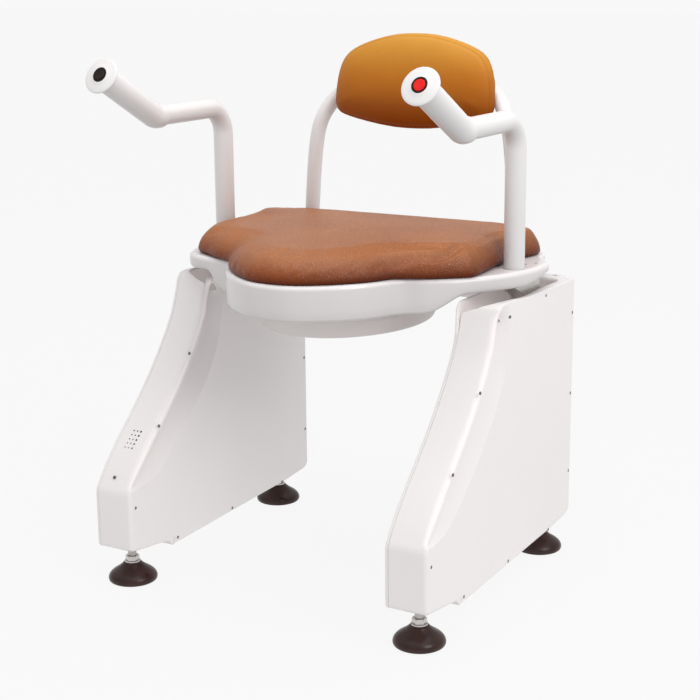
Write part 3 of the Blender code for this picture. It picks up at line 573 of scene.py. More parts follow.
# (perimeter point, inner point, corner radius), going up the front, over the top, down the rear and back
FIRST = [
    ((-43.5, 112), (-22, 112), 6.5), ((-43.5, 140), (-23, 139), 6.5), ((-43.5, 155), (-24, 151), 6.8), ((-42.2, 163.5), (-24.5, 159), 7.0),
    ((-37, 172.5), (-21, 167.4), 7.2), ((-20, 195), (4, 171), 9.0), ((9, 226), (31, 180), 10.5), ((39, 254), (56, 197), 11.0),
    ((67, 280.5), (93, 226), 11.0), ((108, 323), (137, 262), 11.0), ((149, 373), (181, 308), 11.0), ((175, 412), (214, 360), 11.0),
    ((189, 445), (229, 411), 10.5), ((195.5, 464), (235.5, 443), 9.5), ((200, 472.3), (237.6, 456), 7.0), ((207, 476.6), (238.6, 464), 6.0),
    ((217, 478.4), (239.1, 469), 5.0), ((229, 478.4), (239.6, 473.0), 3.4), ((237.5, 478.1), (240.4, 475.2), 2.2), ((244, 477.8), (245, 473.5), 2.2),
    ((256, 477), (256, 467), 3.0), ((300, 473), (300, 462), 3.2), ((360, 471.2), (360, 460), 3.2), ((424, 469.5), (424, 458), 3.2), ((470, 468.9), (470, 457), 3.2),
    ((492, 468.6), (486, 456), 3.2), ((497.6, 467.2), (488, 455), 3.2), ((500, 462.5), (488, 452), 3.2),
    ((500, 430), (488, 430), 3.2), ((500, 360), (488, 360), 3.2), ((500, 270), (488, 270), 3.2), ((500, 180), (488, 180), 3.2), ((500, 110), (488, 110), 3.2),
    ((500, 72), (489, 80), 3.2), ((499.2, 64), (487, 76), 3.2), ((495, 58.6), (484, 72), 3.2), ((484, 55), (478, 68), 3.2), ((450, 52.6), (450, 65), 3.2),
    ((420, 50.5), (420, 63), 3.2), ((340, 48.8), (340, 61), 3.2), ((240, 46.6), (240, 59), 3.2), ((140, 44.5), (140, 57), 3.2), ((74, 43.1), (78, 56), 3.2),
    ((67, 43.4), (72, 57), 3.0), ((61.5, 47), (66, 60), 3.0), ((56, 52.6), (58, 66), 3.0), ((50, 53.8), (51, 67), 3.2), ((28, 57), (30, 70), 4.0), ((0, 60), (2, 75), 5.0),
    ((-22, 62.8), (-12, 82), 6.0), ((-36.5, 65), (-20, 86), 6.5), ((-41.8, 68.2), (-21.5, 90), 6.5), ((-43.5, 74.5), (-22, 95), 6.5),
]
PER = 5
perimeter = [Vector(p) for p in eased([p for p, q, r in FIRST], PER, True)]
inner_edge = [Vector(q) for q in eased([q for p, q, r in FIRST], PER, True)]
radii = [v[0] for v in eased([(r, 0) for p, q, r in FIRST], PER, True)]
# straight runs stay straight
for i, p in enumerate(perimeter):
    if p.x > 499.2 and 74 < p.y < 461:
        p.x = 500.0
    if p.x < -42.8 and 76 < p.y < 154:
        p.x = -43.5


WALL = 3.0
# the lip of the opening: distance from the seat's side of the tower, and Y
LIP = [(4.35, 194.2), (19, 196.5), (32, 198.6), (45.3, 204.7), (52, 210), (55.6, 216.2), (58.4, 224), (60, 234.5), (61.5, 248), (62, 263), (61.5, 301), (60, 331), (57.2, 362)]
skin = [Vector(p) for p in inset([tuple(p) for p in anticlockwise(perimeter)], WALL)]
if (anticlockwise(perimeter)[0] - perimeter[0]).length > 1e-6:
    skin = skin[::-1]


def shell_rows(x0, x1, deep=0.0):
    """Rings from the parting line, over the rounded corner, to the panel's inner edge; the
    inner skin is the same surface set deeper by the wall."""
    rows = []
    open_x = x0 + SEAM + 0.5
    for p, s, q, r in zip(perimeter, skin, inner_edge, radii):
        if deep:
            r = max(r - deep, 1.2)
            p = s
        way = q - p
        reach = way.length
        way = way / reach
        row = [(open_x, p.x, p.y)]
        sunk = hollow(*(p + way * r)) + deep
        face = x1 - sunk - r
        for k in range(1, 6):
            row.append((open_x + (face - open_x) * k / 5, p.x, p.y))
        for k in range(1, 9):
            a = math.pi / 2 * k / 8
            at = p + way * (r * (1 - math.cos(a)))
            row.append((x1 - sunk - r * (1 - math.sin(a)), at.x, at.y))
        for k in range(1, 15):
            at = p + way * (r + (reach - r) * k / 14)
            row.append((x1 - deep - (hollow(*at) if k < 14 else 0.0), at.x, at.y))
        rows.append(row)
    return rows


def crease(obj, x1, least=6.0):
    """Keeps the panel's edge against the hollow crisp."""
    mesh = obj.data
    work = bmesh.new()
    work.from_mesh(mesh)
    limit = math.radians(least)
    for edge in work.edges:
        if len(edge.link_faces) != 2 or any(abs(v.co.x - x1 * MM) > 2e-5 for v in edge.verts):
            continue
        if edge.calc_face_angle(0) > limit and any(abs(f.normal.x) > 0.9999 for f in edge.link_faces):
            edge.smooth = False
    work.to_mesh(mesh)
    work.free()
    return obj


def grille():
    """Small vent holes in slanted rows on the strip of one tower: place, way out and radius of each."""
    run = sorted((p.x, p.y) for p in perimeter if -21 < p.x < 60 and p.y > 170)
    made = []
    for row, y in enumerate((30.0, 24.0, 18.0, 12.4, 6.7)):
        z = float(np.interp(y, *zip(*run)))
        rise = (float(np.interp(y + 4, *zip(*run))) - float(np.interp(y - 4, *zip(*run)))) / 8
        way = Vector((0, -rise, 1)).normalized()
        for k in range(3):
            made.append(((-259.8 - 6.9 * k - 0.4 * row, y, z), way, 2.1 - 0.55 * min(k, 1) - 0.08 * row))
    return made


def line_inside(obj, x0, x1):
    """The inner skin of a cover takes the duller inside finish, which carries a painted glow."""
    mesh = obj.data
    mesh.materials.append(INSIDE)
    at = np.array([f.center[:] for f in mesh.polygons]) / MM
    gap = distance_to(perimeter, at[:, 1] + Y_MID, at[:, 2])
    for f, x, g in zip(mesh.polygons, at[:, 0], gap):
        y, z = f.center.y / MM + Y_MID, f.center.z / MM
        if g > 2.4 and x0 + 2.35 < x < x1 - hollow(y, z) - 2.4:
            f.material_index = 1
    return obj


def tower_shell(side, sign):
    x0 = sign * TOWER_X - TOWER_W / 2
    x1 = x0 + TOWER_W
    outer, inner = shell_rows(x0, x1), shell_rows(x0, x1, WALL)
    count, deep = len(outer), len(outer[0])
    rings = [[outer[i][k] for i in range(count)] for k in range(deep)][::-1]
    rings += [[inner[i][k] for i in range(count)] for k in range(deep)]
    obj = loft(f"shell_{side}", rings, degrees=28)
    if side == "r":
        mouth = [(x0 - 5, 192.9)] + [(x0 + u, y) for u, y in LIP] + [(x0 + 55.3, 385), (x0 + 55.3, 459), (x0 + 52, 463), (x0 - 5, 463)]
    else:
        mouth = [(x1 - u, y) for u, y in LIP[1:][::-1]] + [(x1 - 10.5, 195.5), (x1 - 8.2, 199), (x1 - 8.2, 460), (x1 - 11, 463), (x0 + 15, 463), (x0 + 12, 459), (x0 + 11.2, 385)]
    cutters = [prism("tool", anticlockwise(mouth), 447, 540)]
    for fy in (0.0, 447.3):
        cutters.append(prism("tool", circle(sign * TOWER_X, fy, 11.0), 38, 74))
    if side == "l":
        cutters.append(prism("tool", [(477, 420), (493, 420), (493, 457), (477, 457)], x1 - 12, x1 + 9, "YZ"))
        for at, way, r in grille():
            cutters.append(turned("tool", [(0, -1.4), (r, -1.4), (r, 5.0), (0, 5.0)], at, way, 20))
    cut(obj, cutters, 28, solver="MANIFOLD")
    crease(obj, x1)
    dress(obj, COVER, "base", "cover_white", f"side_cover_{side}")
    return line_inside(obj, x0, x1)


def flank(side, sign):
    """The flat cover: a shallow tray whose rim meets the hollowed cover at the parting line."""
    x0 = sign * TOWER_X - TOWER_W / 2
    if side == "r":  # stands above the lip behind the strip, with a rounded front corner
        up = sorted([p for p in perimeter if p.x < 181 and 112 < p.y < 425], key=lambda p: p.y)
        top = eased([(181.5, 430), (184, 446), (184.6, 460), (186.2, 468.2), (190.4, 474.4), (196.8, 478.6), (204, 480)], 5)
        top += [Vector((x, 480)) for x in range(225, 490, 25)]
        top += eased([(490, 480), (496, 478.6), (499, 475.5), (500, 470)], 4)
        rear = [Vector((500, z)) for z in range(445, 80, -25)]
        low = sorted([p for p in perimeter if p.y < 112 and p.x > 100], key=lambda p: -p.x)
        toe = [p for p in perimeter if p.y < 112 and p.x <= 100]
        full = up + top + rear + low + toe
    else:
        full = list(perimeter)
    keep = []
    for p in full:
        if not keep or (p - keep[-1]).length > 0.8:
            keep.append(p)
    outline = anticlockwise(keep)
    rings = []
    rims = [SEAM - 0.1 if p[1] < 452 or side == "l" else 3.0 for p in outline]
    for distance, deep in ((2.4, 0.0), (1.2, 0.25), (0.4, 0.9), (0.0, 2.0), (0.0, None), (0.5, "lip"), (2.4, "lip"), (2.6, 3.0)):
        ring = []
        for p, rim in zip(inset(outline, distance), rims):
            x = rim - 0.4 if deep is None else rim if deep == "lip" else min(deep, rim)
            ring.append((x0 + x, p.x, p.y))
        rings.append(ring)
    obj = loft(f"flank_{side}", rings, degrees=28)
    if side == "r":
        cut(obj, [prism("tool", [(477, 420), (493, 420), (493, 457), (477, 457)], x0 - 9, x0 + 12, "YZ")], 28)
    dress(obj, COVER, "base", "cover_white", f"inner_cover_{side}")
    return line_inside(obj, x0, x0 + 300)


def corner_loop(xa, xb, ya, yb, r, z, n=6):
    ring = []
    for cx, cy, turn in ((xb - r, ya + r, -90), (xb - r, yb - r, 0), (xa + r, yb - r, 90), (xa + r, ya + r, 180)):
        for k in range(n + 1):
            a = math.radians(turn + 90 * k / n)
            ring.append((cx + r * math.cos(a), cy + r * math.sin(a), z))
    return ring


def deck(side, sign):
    """The cap behind the opening, with a sunk fixing hole."""
    x0 = sign * TOWER_X - TOWER_W / 2
    xa, xb = (x0 + 3.6, x0 + 54.7) if side == "r" else (x0 + 12, x0 + 60.2)
    rings = [corner_loop(xa, xb, 464, 496, 3.0, 465.5)]
    for k in range(8):
        a = math.pi / 2 * k / 7
        d = 3.2 * (1 - math.cos(a))
        rings.append(corner_loop(xa + d, xb - d, 464 + d, 496 - d, max(3.4 - d, 0.4), 469.3 + 3.2 * math.sin(a)))
    obj = loft(f"deck_{side}", rings, degrees=28)
    hx = x0 + 38
    cut(obj, [prism("tool", circle(hx, 486.5, 4.6), 468.6, 480), prism("tool", circle(hx, 486.5, 2.1), 463, 470)], 28)
    dress(obj, COVER, "base", "cover_white", f"top_cap_{side}")
    points, faces = [], []
    screw_mesh(points, faces, (hx, 486.5, 469.0), (0, 0, 1), 3.6, 1.2)
    dress(from_faces(f"deck_screw_{side}", points, faces, 30), SCREW, "base", "zinc_steel")


for side, sign in SIDES:
    tower_shell(side, sign)
    flank(side, sign)

# --------------------------------------------------------------- cover screws
SCREWS = [(235.8, 453.7), (132.7, 357.4), (41.9, 256.0), (-29.4, 137.9), (80.3, 51.9), (243.2, 52.4), (408.2, 51.8), (492.7, 131.8), (492.7, 270.3), (492.7, 410.5), (376.6, 461.1)]


def screw_mesh(points, faces, at, way, r=2.7, proud=0.45):
    """A pan head with a cross recess, standing on at and facing way."""
    way = Vector(way).normalized()
    turn = Vector((0, 0, 1)).rotation_difference(way).to_matrix()
    base = Vector(at)
    n = 24
    rings = [(r * 0.96, -1.6), (r, -0.1), (r * 0.97, proud * 0.45), (r * 0.82, proud * 0.85), (r * 0.62, proud)]
    first = len(points)
    for rr, h in rings:
        for i in range(n):
            a = 2 * math.pi * i / n + math.pi / n
            points.append(base + turn @ Vector((rr * math.cos(a), rr * math.sin(a), h)))
    for k in range(len(rings) - 1):
        for i in range(n):
            j = (i + 1) % n
            faces.append((first + k * n + i, first + k * n + j, first + (k + 1) * n + j, first + (k + 1) * n + i))
    faces.append(tuple(first + i for i in range(n))[::-1])
    # the recess: a four-lobed pit inside the flat top
    pit = len(points)
    for i in range(n):
        a = 2 * math.pi * i / n + math.pi / n
        rr = r * (0.16 + 0.36 * abs(math.cos(2 * a)) ** 3)
        points.append(base + turn @ Vector((rr * math.cos(a), rr * math.sin(a), proud)))
    for i in range(n):
        a = 2 * math.pi * i / n + math.pi / n
        rr = r * (0.10 + 0.18 * abs(math.cos(2 * a)) ** 3)
        points.append(base + turn @ Vector((rr * math.cos(a), rr * math.sin(a), proud - 1.1)))
    top = first + (len(rings) - 1) * n
    for i in range(n):
        j = (i + 1) % n
        faces.append((top + i, top + j, pit + j, pit + i))
        faces.append((pit + i, pit + j, pit + n + j, pit + n + i))
    faces.append(tuple(pit + n + i for i in range(n)))


# painted shade: dark discs set inside the vent holes stand in for the shade within them
points, faces = [], []
for at, way, r in grille():
    turn = Vector((0, 0, 1)).rotation_difference(way).to_matrix()
    first = len(points)
    for deep in (-2.4, -1.3):
        for k in range(20):
            a = math.pi * k / 10
            points.append(Vector(at) + turn @ Vector(((r + 0.2) * math.cos(a), (r + 0.2) * math.sin(a), deep)))
    faces += [(first + k, first + (k + 1) % 20, first + 20 + (k + 1) % 20, first + 20 + k) for k in range(20)]
    faces += [tuple(first + k for k in range(20))[::-1], tuple(first + 20 + k for k in range(20))]
dress(from_faces("vent_shade_l", points, faces, 30), HOLE_SHADE, "base", "black_plastic")

for side, sign in SIDES:
    deck(side, sign)
    x1 = sign * TOWER_X + TOWER_W / 2
    points, faces = [], []
    for y, z in SCREWS:
        d = hollow(y, z)
        e = 1.5
        gy = (hollow(y + e, z) - hollow(y - e, z)) / (2 * e)
        gz = (hollow(y, z + e) - hollow(y, z - e)) / (2 * e)
        screw_mesh(points, faces, (x1 - d, y, z), (1, gy, gz))
    if side == "l":
        screw_mesh(points, faces, (-270, -30.6, 184.0), (0, -0.73, 0.68))
    dress(from_faces(f"cover_screws_{side}", points, faces, 30), SCREW, "base", "zinc_steel")

# =============================================================== seat base
BASE_HALF = [
    (0, 16), (28, 18.5), (52, 28), (79, 45), (104, 65), (126, 90), (141, 115), (152, 138),
    (166, 152), (196, 164), (228, 186), (254, 214), (277, 248), (293, 283), (302, 318),
    (304.5, 352), (301.5, 382), (288.5, 404), (273, 422), (266, 443), (258, 468), (240, 492),
    (212, 503), (160, 506), (80, 507), (0, 507),
]


# the other wing has a fuller front corner
BASE_LEFT = BASE_HALF[:8] + [(165, 152), (196, 160.5), (226, 168.5), (252, 180), (271, 197), (282.5, 219), (291.5, 246), (299, 280), (303.5, 316)] + BASE_HALF[15:]


def whole(half, per_span, other=None):
    def smooth(side):
        run = eased([(-side[1][0], side[1][1])] + list(side) + [(-side[-2][0], side[-2][1])], per_span)
        return run[per_span:-per_span]

    right = smooth(half)
    left = [Vector((-p.x, p.y)) for p in smooth(other or half)[1:-1]][::-1]
    return [Vector(p) for p in right] + left


base_outline = whole(BASE_HALF, 7, BASE_LEFT)


LOWER_EDGE = [(160, 460), (185, 461.4), (199, 463.4), (207, 467.3), (219, 475.4), (230, 484.0), (236, 487.6), (244, 489.8), (256, 490)]
LOWER_LEFT = [(160, 460), (172, 462), (181, 465), (190, 469.5), (197, 475), (203, 483), (208, 490), (214, 493.5), (225, 494.5), (256, 492)]


def underside(x, y):
    height = float(np.interp(abs(x), *zip(*(LOWER_EDGE if x > 0 else LOWER_LEFT))))
    x = abs(x)
    rise = min(max((y - 300.0) / 68.0, 0.0), 1.0) * min(max((x - 240.0) / 20.0, 0.0), 1.0)
    return height + 10.0 * rise


def rim(distance, height):
    return [(p.x, p.y, height(q.x, q.y)) for p, q in zip(inset(base_outline, distance), base_outline)]


def opening(scale, z):
    ring = []
    for p in base_outline:
        t = math.atan2(p.y - 248.0, p.x)
        ring.append((125 * scale * math.cos(t), 248 + 157 * scale * math.sin(t), z))
    return ring


def flat(z):
    return lambda x, y: z


ROLL = 8.0
rings = [opening(1.0, PLATE_TOP), rim(14.0, flat(PLATE_TOP)), rim(ROLL + 0.6, flat(PLATE_TOP))]
for k in range(1, 11):
    a = math.pi / 2 * k / 10
    rings.append(rim(ROLL * (1 - math.sin(a)), flat(PLATE_TOP - ROLL * (1 - math.cos(a)))))
rings += [
    rim(0.15, lambda x, y: underside(x, y) + min(0.34 * (PLATE_TOP - underside(x, y)), 16.0)),
    rim(0.6, lambda x, y: underside(x, y) + 4.0), rim(1.1, lambda x, y: underside(x, y) + 2.2), rim(1.9, lambda x, y: underside(x, y) + 0.9),
    rim(3.0, lambda x, y: underside(x, y) + 0.1), rim(4.4, underside), rim(5.2, lambda x, y: underside(x, y) + 0.8),
    rim(6.0, lambda x, y: underside(x, y) + 4.0), rim(6.2, flat(PLATE_TOP - 6.0)), opening(1.0, PLATE_TOP - 6.0),
]
pan = loft("seat_shell", rings, around=True, degrees=28)
tools = []
for side, sign in SIDES:
    tools.append(prism("tool", circle(sign * POST_X, POST_Y, ARM_R + 0.35, 48), 480, 530))
    tools.append(prism("tool", circle(sign * BACK_X, BACK_Y, BACK_R + 0.8, 48), 480, 530))
cut(pan, tools, 28)
dress(pan, PAN, "seat", "cover_white", "seat_base")


def oval(a, b, z, count=120):
    return [(a * math.cos(2 * math.pi * i / count), 262.0 + b * math.sin(2 * math.pi * i / count), z) for i in range(count)]


ceiling = PLATE_TOP - 6.0
guard = loft(
    "chute",
    [
        oval(152, 186, ceiling - 0.3), oval(152, 186, ceiling - 3.0), oval(151.4, 185.4, ceiling - 3.5), oval(147.6, 181.6, ceiling - 3.6), oval(147, 181, ceiling - 4.6),
        oval(147, 181, 452), oval(146.4, 180.6, 448), oval(144.8, 179.4, 444.5), oval(133.6, 170.4, 424), oval(132.6, 169.4, 421.5), oval(131.2, 168.2, 419.9),
        oval(129.3, 166.3, 419.5), oval(128.0, 165.0, 420.4), oval(128.2, 165.2, 422.5), oval(141.6, 176.0, 446), oval(143.2, 177.3, 450), oval(143.5, 177.5, ceiling - 0.3),
    ],
    around=True, degrees=28,
)
dress(guard, GUARD, "seat", "guard_white", "splash_guard")

# wing screws beside each armrest post
for side, sign in SIDES:
    points, faces = [], []
    for x, y in ((285.9, 314.9), (275.0, 347.0), (285.9, 364.1)):
        screw_mesh(points, faces, (sign * x, y, PLATE_TOP), (0, 0, 1), 2.4, 0.35)
    dress(from_faces(f"wing_screws_{side}", points, faces, 30), SCREW, "seat", "zinc_steel")

# =============================================================== armrests
DISC_R = 11.9
grip = Vector((0, -math.cos(math.radians(GRIP_DEG)), math.sin(math.radians(GRIP_DEG))))
for side, sign in SIDES:
    px = sign * POST_X
    elbow = Vector((px, ELBOW_Y, ARM_Z))
    end = elbow + grip * (GRIP_LEN - 8.0)
    line = [(px, POST_Y, PLATE_TOP - 6.0), (px, POST_Y, ARM_Z), tuple(elbow), tuple(end)]
    path = filleted(line, [46.0, 22.0], 16)
    dress(pipe(f"post_{side}", path, ARM_R, ARM_R - 2.0, 0.6, 56), PAINT, "seat", "paint_white", f"arm_tube_{side}")
    tuck = Vector((px, ELBOW_Y + 15.0, ARM_Z))
    path = filleted([tuple(tuck), tuple(elbow), tuple(end)], [22.0], 16)
    dress(pipe(f"sleeve_{side}", path, SLEEVE_R, ARM_R + 0.3, 1.6, 56), PAINT, "seat", "paint_white", f"grip_sleeve_{side}")

    face = elbow + grip * GRIP_LEN
    profile = [
        (DISC_R + 0.3, -0.6), (12.6, -0.55), (13.6, -0.8), (15.5, -1.5), (20.0, -2.4), (25.0, -3.2), (27.4, -3.8), (28.5, -4.5), (28.9, -5.4),
        (28.7, -6.4), (27.9, -7.1), (26.8, -7.4), (20.5, -7.7), (13.6, -7.7), (13.6, -20.0), (12.5, -20.0), (12.5, -6.5), (DISC_R + 0.3, -6.0),
    ]
    dress(turned(f"end_cap_{side}", profile, face, grip, 72, True), PAINT, "seat", "paint_white", f"grip_cap_{side}")
    profile = [(9.5, -0.6), (9.8, -0.15), (10.3, 0.0), (10.9, 0.0), (11.4, -0.25), (DISC_R, -0.8), (DISC_R, -6.4), (12.1, -6.8), (12.1, -19.0), (9.5, -19.0)]
    dress(turned(f"bezel_{side}", profile, face, grip, 56, True), BLACK, "seat", "black_plastic", f"button_bezel_{side}")
    profile = [(0, 0.55), (3.0, 0.6), (5.2, 0.75), (6.9, 0.9), (8.1, 0.75), (8.7, 0.2), (9.05, -0.7), (9.1, -1.6), (9.1, -8.0), (3.5, -8.0), (3.5, -15.0), (0, -15.0)]
    dress(turned(f"push_{side}", profile, face, grip, 48), RED if side == "r" else BLACK, f"button_{side}", "red_plastic" if side == "r" else "black_plastic", f"button_{side}")

# =============================================================== back frame
BACK_HALF = [
    (BACK_X, BACK_Y, 508.6), (BACK_X - 3.5, BACK_Y, 560), (BACK_X - 8, BACK_Y + 0.5, 625), (BACK_X - 13, BACK_Y + 2, 675),
    (BACK_X - 20, BACK_Y + 6, 711), (BACK_X - 33, BACK_Y + 15, 739), (BACK_X - 51, BACK_Y + 27, 761),
    (BACK_X - 74, BACK_Y + 34, 777), (BACK_X - 103, BACK_Y + 37, 787), (BACK_X - 140, BACK_Y + 38, 791), (0, BACK_Y + 38, 792),
]
spine = BACK_HALF + [(-x, y, z) for x, y, z in BACK_HALF[:-1]][::-1]
dress(pipe("back_hoop", eased(spine, 7), BACK_R, BACK_R - 1.6, 0.5, 40), PAINT, "seat", "paint_white", "back_tube")


# =============================================================== soft pads
def simulate(obj, pressure, frames, voxel, limit, hold=None, tension=20.0):
    """Inflates a closed pad with Cloth, holding the marked area, and caps how far it moves."""
    mod = obj.modifiers.new("remesh", "REMESH")
    mod.mode = "VOXEL"
    mod.voxel_size = voxel * MM
    baked(obj)
    mesh = obj.data
    rest = np.empty(len(mesh.vertices) * 3)
    mesh.vertices.foreach_get("co", rest)
    rest = rest.reshape(-1, 3)
    group = obj.vertex_groups.new(name="held")
    held = [i for i, co in enumerate(rest) if hold and hold(co)]
    if held:
        group.add(held, 1.0, "REPLACE")
    cloth = obj.modifiers.new("cloth", "CLOTH")
    s = cloth.settings
    s.quality = 6
    s.mass = 0.3
    s.use_pressure = True
    s.uniform_pressure_force = pressure
    s.tension_stiffness = s.compression_stiffness = tension
    s.shear_stiffness = tension * 0.5
    s.bending_stiffness = 2.0
    s.effector_weights.gravity = 0
    if held:
        s.vertex_group_mass = "held"
    cloth.collision_settings.use_collision = False
    cloth.collision_settings.use_self_collision = False
    cloth.point_cache.frame_start, cloth.point_cache.frame_end = 1, frames
    scene = bpy.context.scene
    scene.frame_start, scene.frame_end = 1, frames
    for f in range(1, frames + 1):
        scene.frame_set(f)
    graph = bpy.context.evaluated_depsgraph_get()
    swollen = obj.evaluated_get(graph).to_mesh()
    now = np.empty(len(swollen.vertices) * 3)
    swollen.vertices.foreach_get("co", now)
    now = now.reshape(-1, 3)
    move = now - rest
    size = np.linalg.norm(move, axis=1)
    print("PAD", obj.name, "verts", len(rest), "moved max mm", round(float(size.max()) * 1000, 2), "mean", round(float(size.mean()) * 1000, 2))
    capped = rest + move * (np.minimum(size, limit * MM) / np.maximum(size, 1e-9))[:, None]
    obj.evaluated_get(graph).to_mesh_clear()
    obj.modifiers.clear()
    mesh.vertices.foreach_set("co", capped.ravel())
    mesh.update()
    scene.frame_set(1)
    return obj


def relaxed(obj, rounds, factor=0.5, keep=None):
    mod = obj.modifiers.new("smooth", "SMOOTH")
    mod.factor, mod.iterations = factor, rounds
    return baked(obj)


def finer(obj, levels=1):
    mod = obj.modifiers.new("finer", "SUBSURF")
    mod.levels = mod.render_levels = levels
    return baked(obj, 60)


CUSHION_HALF = [
    (0, 20), (25, 22.5), (48, 30.5), (76, 48), (101, 70), (124, 96), (139, 120), (150, 138),
    (166, 148), (194, 162), (222, 182), (243, 200), (250, 208), (252, 222), (251, 240), (249, 270), (246, 305),
    (245, 343), (250, 378), (256, 400), (261, 424), (259, 445), (243, 459), (190, 464), (100, 465), (0, 465),
]
CUSHION_LEFT = [
    (0, 20), (25, 22.5), (48, 30.5), (76, 48), (101, 70), (124, 96), (139, 120), (150, 138),
    (166, 148), (194, 161), (222, 179), (246, 193), (256, 202), (260, 216), (260, 235), (258, 262), (254, 292), (249, 318),
    (247, 343), (250, 361), (256, 378), (261, 400), (262, 424), (259, 445), (243, 459), (190, 464), (100, 465), (0, 465),
]
LOW = PLATE_TOP + 0.4
WIDEST = LOW + 7.0


def inside(outline, x, y):
    pts = [(p.x, p.y) for p in outline]
    odd = np.zeros(len(x), bool)
    for (ax, ay), (bx, by) in zip(pts, pts[1:] + pts[:1]):
        if ay != by:
            odd ^= ((ay > y) != (by > y)) & (x < (bx - ax) * (y - ay) / (by - ay) + ax)
    return odd


def ease(v, low, high):
    t = np.clip((v - low) / (high - low), 0, 1)
    return t * t * (3 - 2 * t)


def rear_corner(x, y):
    return np.exp(-(((np.abs(x) - 258) / 26) ** 2 + ((y - 460) / 28) ** 2))


def roll_width(x, y):
    """How far in from the edge the top starts to fall: a long fall in front, tight at the sides."""
    front = 62.0 - 18.0 * ease(y, 110, 195) - 33.0 * ease(y, 195, 258)
    return front + 5.0 * ease(y, 425, 455) + 30.0 * rear_corner(x, y)


def crown(x, y):
    return 563.3 - 2.2 * (x / 250.0) ** 2 - 5.5 * ((y - 330.0) / 300.0) ** 2


def pad_top(outline, x, y):
    d = distance_to(outline, x, y)
    t = np.clip(d / roll_width(x, y), 0, 1)
    soft = 0.05 + 0.22 * (1 - ease(y, 195, 258)) + 0.6 * rear_corner(x, y)
    lift = np.sqrt(np.maximum(0, 1 - (1 - t) ** 2.15)) * (1 - soft) + np.sin(t * np.pi / 2) * soft
    return WIDEST + (crown(x, y) - 1.5 - WIDEST) * lift


def cushion_mesh(name, outline, step=5.0):
    edge = [Vector((p.x, p.y)) for p in spaced([tuple(p) for p in outline], 4.0)]
    gx, gy = np.meshgrid(np.arange(-265, 266, step), np.arange(15, 468, step))
    gx, gy = gx.ravel().astype(float), gy.ravel().astype(float)
    keep = inside(outline, gx, gy)
    gx, gy = gx[keep], gy[keep]
    keep = distance_to(outline, gx, gy) > 2.2
    gx, gy = gx[keep], gy[keep]
    n = len(edge)
    flat_points = edge + [Vector(p) for p in zip(gx.tolist(), gy.tolist())]
    verts, _, tris, *_ = mathutils.geometry.delaunay_2d_cdt(flat_points, [(i, (i + 1) % n) for i in range(n)], [], 1, 1e-5)
    vx, vy = np.array([v.x for v in verts]), np.array([v.y for v in verts])
    vz = pad_top(outline, vx, vy)
    points = list(zip(vx.tolist(), vy.tolist(), vz.tolist()))
    faces = [tuple(t) for t in tris]
    ring = list(range(n))
    for distance, z in ((0.9, WIDEST - 3.4), (2.6, LOW + 1.0), (5.0, LOW)):
        low = len(points)
        points += [(p.x, p.y, z) for p in inset([tuple(e) for e in edge], distance)]
        faces += [(ring[i], ring[(i + 1) % n], low + (i + 1) % n, low + i) for i in range(n)]
        ring = [low + i for i in range(n)]
    faces.append(tuple(ring))
    return from_faces(name, points, faces)


cushion_outline = inset(whole(CUSHION_HALF, 4, CUSHION_LEFT), -1.6)
cushion = cushion_mesh("seat_pad", cushion_outline)
simulate(cushion, 2.0, 20, 4.0, 2.6, hold=lambda co: co[2] < (LOW + 2.0) * MM)
relaxed(cushion, 1)


FOLDS = [
    ([(124, 116), (150, 150), (176, 172), (205, 188), (238, 202)], 7.0, 4.6),
    ([(146, 172), (180, 195), (212, 210), (238, 234)], 8.0, 3.2),
    ([(190, 170), (211, 198), (222, 228)], 6.0, 3.6),
]


def folded(x, y):
    """How far the hide sinks where the lobe turns into the wing on the right."""
    sunk = np.zeros(len(x))
    for line, wide, deep in FOLDS:
        run = np.zeros(len(x)) + 1e9
        along = np.zeros(len(x))
        for k, ((ax, ay), (bx, by)) in enumerate(zip(line, line[1:])):
            t = np.clip(((x - ax) * (bx - ax) + (y - ay) * (by - ay)) / ((bx - ax) ** 2 + (by - ay) ** 2), 0, 1)
            d = np.hypot(x - ax - t * (bx - ax), y - ay - t * (by - ay))
            near = d < run
            run = np.where(near, d, run)
            along = np.where(near, (k + t) / (len(line) - 1), along)
        fade = np.sin(np.clip(along, 0.0, 1.0) * np.pi) ** 0.8
        sunk += deep * fade * (np.exp(-((run / wide) ** 2)) - 0.55 * np.exp(-(((run - 2.1 * wide) / wide) ** 2)))
    return sunk


def settle_cushion(obj):
    """Presses in the folds and keeps the underside flat on the base."""
    mesh = obj.data
    co = np.empty(len(mesh.vertices) * 3)
    mesh.vertices.foreach_get("co", co)
    co = co.reshape(-1, 3)
    high = np.clip((co[:, 2] / MM - WIDEST) / 12.0, 0, 1)
    x, y = co[:, 0] / MM, co[:, 1] / MM + Y_MID
    full = 5.0 * np.exp(-(((x + 236) / 34) ** 2 + ((y - 352) / 62) ** 2)) - 2.2 * np.exp(-(((x + 240) / 40) ** 2 + ((y - 450) / 30) ** 2))
    co[:, 2] += (full - folded(x, y)) * high * MM
    co[:, 2] = np.maximum(co[:, 2], (LOW - 0.2) * MM)
    mesh.vertices.foreach_set("co", co.ravel())
    mesh.update()


finer(cushion)
settle_cushion(cushion)
dress(cushion, SEAT, "seat", "seat_leather", "seat_cushion")

PAD_HALF = [
    (0, 869.0), (32, 867.6), (64, 862.0), (98, 851.6), (126, 838.0), (142, 819), (150, 793),
    (153, 766), (152.5, 744), (144, 729), (124, 721.0), (84, 712.5), (42, 706.3), (0, 704.3),
]
PAD_TILT, PAD_BACK = 0.10, 494.0
pad_outline = [Vector((p.x + 4.5, p.y)) for p in anticlockwise(whole(PAD_HALF, 5))]


def back_ring(distance, y, scale=None):
    ring = []
    for p in inset(pad_outline, distance):
        x, z = p.x, p.y
        if scale is not None:
            x, z = 4.5 + (x - 4.5) * scale, 783 + (z - 783) * scale
        ring.append((x, y + PAD_TILT * (z - 783), z))
    return ring


